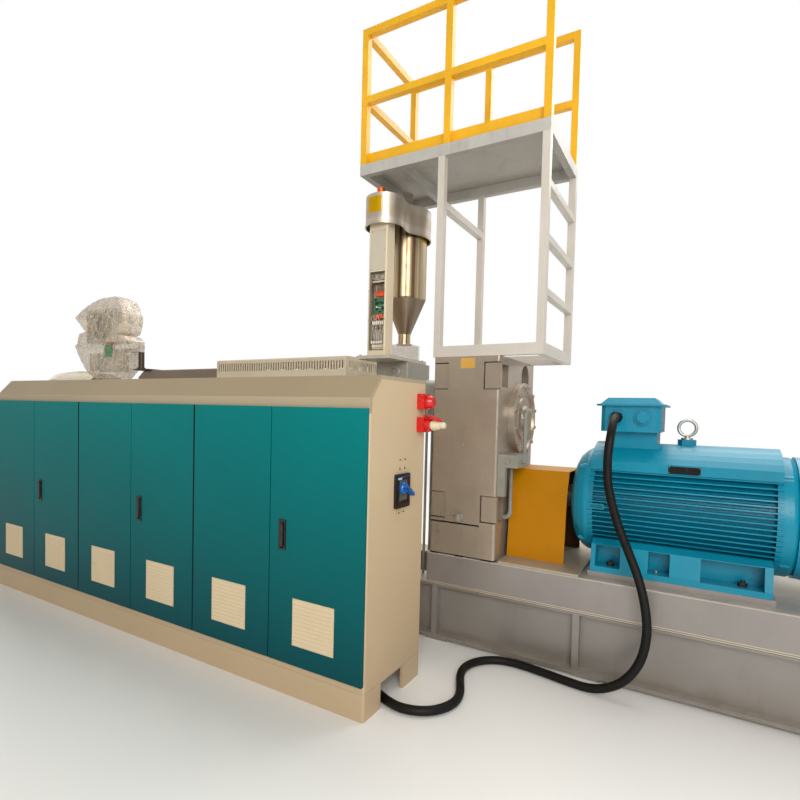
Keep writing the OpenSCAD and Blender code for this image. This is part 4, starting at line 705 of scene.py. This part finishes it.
CABLE_EXIT = at(700, -268, 1611)
CABLE_ROUTE = [
    (700, -268, 1611), (700, -295, 1611), (702, -381, 1594), (703, -454, 1545), (700, -503, 1472),
    (695, -520, 1386), (696, -521, 1300), (703, -521, 1215), (732, -522, 1092), (774, -524, 965),
    (827, -530, 840), (884, -545, 705), (925, -562, 560), (942, -578, 410), (918, -592, 260),
    (850, -606, 140), (755, -610, 65), (650, -602, 30), (520, -585, 26), (395, -562, 26),
    (280, -545, 26), (180, -540, 26), (88, -558, 26), (10, -610, 26), (-42, -688, 26), (-60, -780, 26),
    (-41, -874, 26), (-6, -957, 26), (29, -1040, 26), (47, -1130, 26), (29, -1218, 26), (-20, -1293, 26),
    (-95, -1342, 26), (-183, -1360, 26), (-271, -1342, 26), (-350, -1309, 26), (-410, -1284, 26)]


def gland_sleeve():
    """Ribbed rubber sleeve that tapers from the gland's nut down to the cable."""
    # Radius and distance from the nut: collar, four ribs, then back inside the cable
    outline = [(36, 0), (36, 6)] + [(34 - 2 * k, 9 + 8 * k + d) for k in range(4) for d in (0, 5)]
    outline += [(25.2, 42), (24.6, 42), (24.6, 0)]
    mesh = bpy.data.meshes.new("gland_sleeve")
    piece = add("gland_sleeve", mesh)
    points = [CABLE_EXIT + Vector((r, -y, 0)) / 1000 for r, y in outline]
    mesh.from_pydata(points, [(k, k + 1) for k in range(len(points) - 1)], [])
    select_only(piece)
    bpy.ops.object.mode_set(mode="EDIT")
    bpy.ops.mesh.select_all(action="SELECT")
    bpy.ops.mesh.spin(steps=40, angle=2 * pi, center=CABLE_EXIT, axis=(0, 1, 0))
    bpy.ops.mesh.select_all(action="SELECT")
    bpy.ops.mesh.remove_doubles(threshold=0.00005)
    bpy.ops.mesh.normals_make_consistent(inside=False)
    bpy.ops.object.mode_set(mode="OBJECT")
    return finish_piece(piece, "gland_sleeve", cable_skin, smooth=50)


cable_skin = moulded("cable_black_rubber", rgb(12, 11, 9), 0.5, 0.0002, 260.0, dust=0.0, shine=0.25)
cable_line = smooth_line([at(*p) for p in CABLE_ROUTE], 4)
cable_length = sum((b - a).length for a, b in zip(cable_line, cable_line[1:]))
motor_lead = as_mesh(round_line("motor_lead", cable_line, 0.0248, 7))
finish_piece(motor_lead, "motor_lead", cable_skin)
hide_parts("motor_cable")
gland_sleeve()

# Clear film round the operator's panel and over the die

PANEL = (-4645, -300, 2182)  # the panel's axis, at the arm
# Height over the arm, left and right edge from the panel's axis, half the depth
PANEL_WRAP = [
    (-284, -182, 322, 92), (-215, -254, 366, 132), (-149, -302, 420, 144), (-98, -345, 434, 148),
    (0, -420, 466, 150), (86, -487, 496, 145), (117, -464, 508, 140), (168, -448, 444, 134),
    (190, -440, 352, 130), (204, -432, 424, 130), (228, -416, 432, 131), (243, -290, 434, 133),
    (300, -348, 440, 147), (350, -408, 445, 149), (408, -478, 444, 148), (430, -444, 424, 147),
    (500, -316, 406, 142), (560, -204, 382, 118), (598, -136, 292, 80), (622, -88, 182, 34),
    (629, -76, 152, 6)]
PANEL_BOX = ((-258, 258), (-118, 118), (110, 486))


def crease(place, size):
    """Sharp ridges of crumpled film, from 0 in a fold to 1 on a ridge."""
    first = 1 - 2.4 * abs(noise.noise(place / size))
    second = 1 - 2.2 * abs(noise.noise(place / size * 2.6 + Vector((7, 3, 5))))
    return min(1.0, max(0.0, 0.6 * first + 0.4 * second))


def round_loop(left, right, half_depth, count):
    """Points and outward directions evenly round a rectangle with round corners."""
    middle, half = (left + right) / 2, (right - left) / 2
    corner = min(62, 0.95 * half_depth, 0.95 * half)
    a, b = half - corner, half_depth - corner
    arc = corner * pi / 2
    whole = 4 * (a + b) + 4 * arc
    loop = []
    for k in range(count):
        s = k / count * whole
        for quarter in range(4):
            side = 2 * (b if quarter % 2 == 0 else a)
            if s < side + arc:
                break
            s -= side + arc
        turn = quarter * pi / 2
        x, y = (a, b)[quarter % 2], (b, a)[quarter % 2]
        if s < side:
            point, way = (x + corner, s - y), 0.0
        else:
            way = (s - side) / corner
            point = (x + corner * cos(way), y + corner * sin(way))
        c, d = cos(turn), sin(turn)
        loop.append((middle + point[0] * c - point[1] * d, point[0] * d + point[1] * c,
                     cos(way + turn), sin(way + turn)))
    return loop


def off_the_box(x, y, z, box):
    """Moves a place on the film out of the panel that it covers."""
    (x0, x1), (y0, y1), (z0, z1) = box
    if x0 < x < x1 and y0 < y < y1 and z0 < z < z1:
        y = y1 if y > 0 else y0
    return x, y, z


def film_mesh(name, rows, closed, material, node):
    """A smooth sheet through rows of points, in place of the frame's film."""
    shape = bmesh.new()
    grid = [[shape.verts.new(place) for place in row] for row in rows]
    for low, high in zip(grid, grid[1:]):
        for k in range(len(low) if closed else len(low) - 1):
            n = (k + 1) % len(low)
            shape.faces.new((low[k], low[n], high[n], high[k])).smooth = True
    mesh = bpy.data.meshes.new(name)
    shape.to_mesh(mesh)
    shape.free()
    piece = finish_piece(add(name, mesh), name, material)
    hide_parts(node)
    return piece


def between(table, height):
    """The row of a table for a height between two of its rows."""
    for low, high in zip(table, table[1:]):
        if height <= high[0]:
            share = (height - low[0]) / (high[0] - low[0])
            return [a + (b - a) * share for a, b in zip(low[1:], high[1:])]
    return table[-1][1:]


def panel_bag(material):
    """The bag round the operator's panel: rings of points, pushed in where the film is creased."""
    around, steps, rows = 400, 150, []
    lowest, highest, waist = PANEL_WRAP[0][0], PANEL_WRAP[-1][0], 236
    for j in range(steps + 1):
        height = lowest + (highest - lowest) * j / steps
        deep = min(1.0, 0.45 + abs(height - waist) / 300)
        flat_top = min(1.0, (highest - height) / 60)
        row = []
        for x, y, nx, ny in round_loop(*between(PANEL_WRAP, height), around):
            fold = crease(Vector((x, y, height * 0.28)), 62)
            small = crease(Vector((x + 400, y, height)), 30)
            push = (-1.5 - 13 * (1 - fold) * deep - 5 * (1 - small)) * flat_top
            hem = max(0.0, 14 * noise.noise(Vector((x, y, 9)) / 46)) if j == 0 else 0.0
            x, y, z = off_the_box(x + nx * push, y + ny * push, height + hem, PANEL_BOX)
            row.append(at(PANEL[0] + x, PANEL[1] + y, PANEL[2] + z))
        rows.append(row)
    bag = film_mesh("panel_bag", rows, True, material, "panel_film")


DIE_END, DIE_TOP = -6160, 1720
# Distance along the die, and the film's greatest distance from its axis
DIE_WRAP = [(0, 267), (60, 294), (400, 310), (700, 304), (900, 288), (960, 267)]
DIE_ROUND = 266  # just outside the die's own radius


def die_blanket(material):
    """The film over the die's upper half, with its long edges a little below the axis."""
    lengthwise, across, below, rows = 160, 220, 0.195, []
    for j in range(lengthwise + 1):
        along = DIE_WRAP[-1][0] * j / lengthwise
        reach = between(DIE_WRAP, along)[0]
        row = []
        for k in range(across + 1):
            angle = -below + (pi + 2 * below) * k / across
            spot = Vector((along, reach * cos(angle), reach * sin(angle)))
            fold = crease(Vector((along * 0.45, spot.y, spot.z)), 80)
            small = crease(spot + Vector((90, 0, 0)), 34)
            away = reach - 1.5 - min(8.0, reach - DIE_ROUND) * (0.7 * (1 - fold) + 0.3 * (1 - small))
            row.append(at(DIE_END + along, -away * cos(angle), DIE_TOP + away * sin(angle)))
        rows.append(row)
    cover = film_mesh("die_blanket", rows, False, material, "head_wrap")


# A bare green patch on the bag and the pale red edge over it
LABEL = (at(-4492, -490, 2122), at(-4352, -370, 2258), rgb(30, 150, 72))
LABEL_EDGE = (at(-4474, -490, 2258), at(-4336, -370, 2288), rgb(196, 92, 70))
panel_bag(clear_sheet("film_wrinkled", rgb(228, 210, 184), 0.43, 0.04, 0.5, 12.5, 0.013, (1, 1, 0.55),
                      (LABEL, LABEL_EDGE)))
die_blanket(clear_sheet("film_over_die", rgb(250, 240, 216), 0.8, 0.08, 0.05, 5.0, 0.004))

# Wiring in the feeder's open bay


def bay(x, y, z):
    """A place in the bay: from the hopper's axis, from the boards' back plate, over the plate."""
    return (HOPPER_X + x, BOARD_BACK - y, FEEDER_Z + z)


def plug_row(name, count, first, pitch, low, high, depth, material):
    """Plugs side by side, each with a lip at its low edge."""
    body = soft_block(bay(first, depth + 9, low), bay(first + 0.62 * pitch, depth - 1, high), 0.0008)
    lip = soft_block(bay(first + 0.1 * pitch, depth + 12, low + 4),
                     bay(first + 0.52 * pitch, depth + 8, low + 9), 0.0005, 1)
    plugs = [body, lip]
    for k in range(1, count):
        plugs += [moved_copy(p, (k * pitch, 0, 0)) for p in (body, lip)]
    return finish_piece(joined(plugs), name, material, smooth=40)


def wires(name, paths, material, radius=0.0014):
    lines = [as_mesh(round_line(f"{name}_{k}", smooth_line([at(*p) for p in path], 5), radius, 2))
             for k, path in enumerate(paths)]
    return finish_piece(joined(lines), name, material)


def jitter(k, size):
    """A small shift that depends only on the wire's number."""
    return size * noise.noise(Vector((k * 1.73, 0.4 * k, 2.1)))


def hanging_wires(count, x0, x1, top, low, depth, seed, sway):
    """Wires from a row of clamps to the next, each with its own sag."""
    for k in range(count):
        x = x0 + (x1 - x0) * k / (count - 1)
        s = seed + k
        yield [bay(x, depth, top),
               bay(x + jitter(s, sway), depth + 5 + abs(jitter(s + 9, 14)), top * 0.72 + low * 0.28),
               bay(x + jitter(s + 4, 1.6 * sway), depth + 8 + abs(jitter(s + 2, 16)), top * 0.35 + low * 0.65),
               bay(x + jitter(s + 6, 6), depth - 2, low)]


def chip_set():
    """Dark chips and pale capacitors on the green board."""
    front = BOARD_PARTS["green_board"][4]
    # Left and low edge, width, height and depth
    chips = [soft_block(bay(x, front + h, z), bay(x + w, front - 1, z + t), 0.0008)
             for x, z, w, t, h in ((-40, 392, 26, 22, 8), (-6, 400, 14, 16, 6), (14, 396, 24, 12, 7),
                                   (-30, 350, 12, 20, 9), (18, 352, 28, 20, 6), (34, 424, 14, 10, 9),
                                   (-46, 426, 18, 10, 6), (-8, 334, 16, 10, 7))]
    finish_piece(joined(chips), "board_chips", chip_black, smooth=40)
    cans = [round_head(bay(x, front + 7, z), r, 16) for x, z, r in ((-22, 372, 6), (2, 366, 4.5), (42, 384, 4))]
    finish_piece(joined(cans), "board_cans", wire_white, smooth=40)


chip_black = moulded("chip_black", rgb(34, 33, 32), 0.3)
wire_white = moulded("wire_white", rgb(240, 232, 216), 0.4)
wire_grey = moulded("wire_grey", rgb(178, 170, 158), 0.45)
wire_brown = moulded("wire_brown", rgb(150, 78, 40), 0.45)
wire_dark = moulded("wire_dark", rgb(44, 42, 44), 0.45)
plug_white = moulded("plug_white", rgb(246, 240, 226), 0.35)

# Number of plugs, left edge and pitch, low and high edge, depth
for row_name, *figures in (("middle", 6, -52, 17.4, 236, 264, 26), ("low", 8, -54, 13.6, 66, 88, 22),
                           ("end", 5, -50, 21.0, 92, 112, 42), ("top", 7, -54, 15.4, 556, 568, 22)):
    plug_row(f"plugs_{row_name}", *figures, plug_white)
chip_set()
# Number of wires, left and right end, top and low end, depth, seed and sway
for row_name, coat, *figures in (
        ("top", wire_white, 9, -50, 46, 626, 572, 18, 3, 16),
        ("top_grey", wire_grey, 7, -44, 50, 628, 574, 24, 31, 18),
        ("relays", wire_dark, 9, -52, 50, 550, 486, 26, 61, 14),
        ("relays_brown", wire_brown, 5, -50, 40, 548, 470, 30, 77, 20),
        ("middle", wire_brown, 8, -54, 50, 318, 262, 24, 91, 26),
        ("middle_pale", wire_white, 6, -50, 52, 310, 262, 30, 113, 22),
        ("low", wire_white, 9, -52, 50, 236, 88, 30, 131, 14),
        ("low_grey", wire_grey, 6, -54, 40, 234, 88, 36, 151, 20)):
    wires(f"wires_{row_name}", hanging_wires(*figures), coat)
wires("wires_side", [[bay(-58, 20, 620), bay(-60, 26, 520), bay(-58, 22, 400), bay(-61, 28, 300),
                      bay(-58, 24, 190), bay(-56, 22, 90)],
                     [bay(58, 18, 600), bay(60, 26, 500), bay(57, 20, 380), bay(60, 26, 260),
                      bay(58, 20, 120)]], wire_dark, 0.0022)

# Screws, plates and small fasteners


def screw_set(name, places, radius, height, material, turn=(pi / 2, 0, 0)):
    """Equal heads at several places, as one piece."""
    heads = [round_head(places[0], radius, height, turn)]
    heads += [moved_copy(heads[0], Vector(p) - Vector(places[0])) for p in places[1:]]
    return finish_piece(joined(heads), name, material, smooth=40)


screw_zinc = bare_steel("screw_zinc", rgb(186, 184, 176), rgb(120, 110, 92), (30, 30, 30), 0.4, 0.32)
screw_set("panel_screws", [(HOPPER_X + x, -429.5, z) for x in (-56, 56) for z in (2680, 2820, 2958)],
          3.2, 3, screw_zinc)
screw_set("column_screws", [(HOPPER_X + x, -434, z) for x in (-73, 73) for z in (2300, 2520)],
          3.6, 4, screw_zinc)
# Dark heads that stand for holes in the end wall: painted shade.
hole_shade = moulded("hole_shade", rgb(40, 32, 26), 0.5)
screw_set("end_wall_screws", [(-285.6, y, z) for y, z in (
    (-1242, 1343), (-1187, 1344), (-1243, 1293), (-1188, 1293), (-1244, 1045), (-1190, 1046))],
          4.2, 4.8, hole_shade, (0, pi / 2, 0))
screw_set("earth_screw", [(961, -330, 699)], 11, 16, screw_zinc, (0, 0, 0))


def nameplate(material):
    """A bare dark plate with a fine raised rim, held by four rivets."""
    left, right, low, high, face = 1000, 1168, 1283, 1328, -278
    plate = soft_block((left, face, low), (right, -275.4, high), 0.0008)
    bpy.ops.object.mode_set(mode="EDIT")
    mesh = bmesh.from_edit_mesh(plate.data)
    bpy.ops.mesh.select_all(action="DESELECT")
    for side in mesh.faces:
        side.select = side.normal.y < -0.99 and side.calc_area() > 0.003
    bmesh.update_edit_mesh(plate.data)
    bpy.ops.mesh.inset(thickness=0.004, depth=-0.0006)
    bpy.ops.object.mode_set(mode="OBJECT")
    finish_piece(plate, "motor_plate", material, smooth=40)
    rivets = [(x, face - 0.4, z) for x in (left + 5, right - 5) for z in (low + 5, high - 5)]
    screw_set("plate_rivets", rivets, 2.4, 2.4, screw_zinc)


nameplate(painted("plate_black", rgb(16, 14, 14), size=9, wear=0.6, worn=rgb(92, 86, 80), gloss=0.4,
                  shine=0.2))

# Room: pale floor and white surroundings


def pale_room():
    """Even light; only what mirrors sees dim brown fields with tall bright ones between them."""
    world = bpy.data.worlds.new("pale_room")
    bpy.context.scene.world = world
    world.use_nodes = True
    tree = world.node_tree
    ground = tree.nodes["Background"]
    fill(tree, ground, {"Color": (1.0, 0.985, 0.96, 1), "Strength": 0.46})
    way = axes(tree, put(tree, "ShaderNodeTexCoord").outputs["Generated"])
    bays = figure(tree, "FRACT", figure(tree, "MULTIPLY", figure(tree, "ARCTAN2", way[1], way[0]), 1.9))
    bright = figure(tree, "MULTIPLY", spread(tree, bays, 0.30, 0.34), spread(tree, way[2], 0.02, 0.05))
    bright = figure(tree, "MULTIPLY", bright, spread(tree, way[2], 0.62, 0.5), clamp=True)
    fields = blend(tree, bright, (0.30, 0.235, 0.165, 1), (1.05, 1.0, 0.92, 1))
    round_about = put(tree, "ShaderNodeBackground", {"Color": fields, "Strength": 1.0})
    path =put(tree, "ShaderNodeLightPath").outputs
    white = put(tree, "ShaderNodeBackground", {"Color": (1, 1, 1, 1), "Strength": 1.0})
    mirrored = put(tree, "ShaderNodeMixShader", {0: path["Is Glossy Ray"], 1: ground.outputs[0],
                                                 2: round_about.outputs[0]})
    shown = figure(tree, "MAXIMUM", path["Is Camera Ray"], path["Is Transmission Ray"])
    mixed = put(tree, "ShaderNodeMixShader", {0: shown, 1: mirrored.outputs[0], 2: white.outputs[0]})
    tree.links.new(mixed.outputs[0], tree.nodes["World Output"].inputs["Surface"])


def pale_floor():
    """A floor that fades to white far from the machine, for the camera only."""
    bpy.ops.mesh.primitive_plane_add(size=80, location=(0, 0, 0))
    floor = bpy.context.object
    floor.name = "floor"
    material, tree, shader, place = start("floor_pale")
    fill(tree, shader, {"Base Color": rgb(236, 236, 234),
                        "Roughness": spread(tree, cloud(tree, place, 0.8, 4, 0.6), 0.3, 0.7, 0.30, 0.42)})
    away = put(tree, "ShaderNodeVectorMath", {0: place}, operation="LENGTH").outputs["Value"]
    far = spread(tree, away, 5.5, 13.0)
    seen = figure(tree, "MULTIPLY", far, put(tree, "ShaderNodeLightPath").outputs["Is Camera Ray"])
    glow = put(tree, "ShaderNodeEmission", {"Color": (1, 1, 1, 1), "Strength": 1.0})
    mixed = put(tree, "ShaderNodeMixShader", {0: seen, 1: shader.outputs[0], 2: glow.outputs[0]})
    tree.links.new(mixed.outputs[0], tree.nodes["Material Output"].inputs["Surface"])
    floor.data.materials.append(material)


def soft_lamp(name, place, target, size, power, tint):
    data = bpy.data.lights.new(name, "AREA")
    data.size, data.energy, data.color = size, power, tint
    lamp = add(name, data)
    lamp.matrix_world = (target - place).to_track_quat("-Z", "Y").to_matrix().to_4x4()
    lamp.location = place


pale_room()
pale_floor()
soft_lamp("roof_light", at(-600, 3800, 8600), at(-900, -300, 600), 9.0, 900, (1, 0.98, 0.95))
soft_lamp("side_light", at(3600, -7200, 4200), at(-700, -600, 1200), 4.0, 390, (1, 0.96, 0.9))
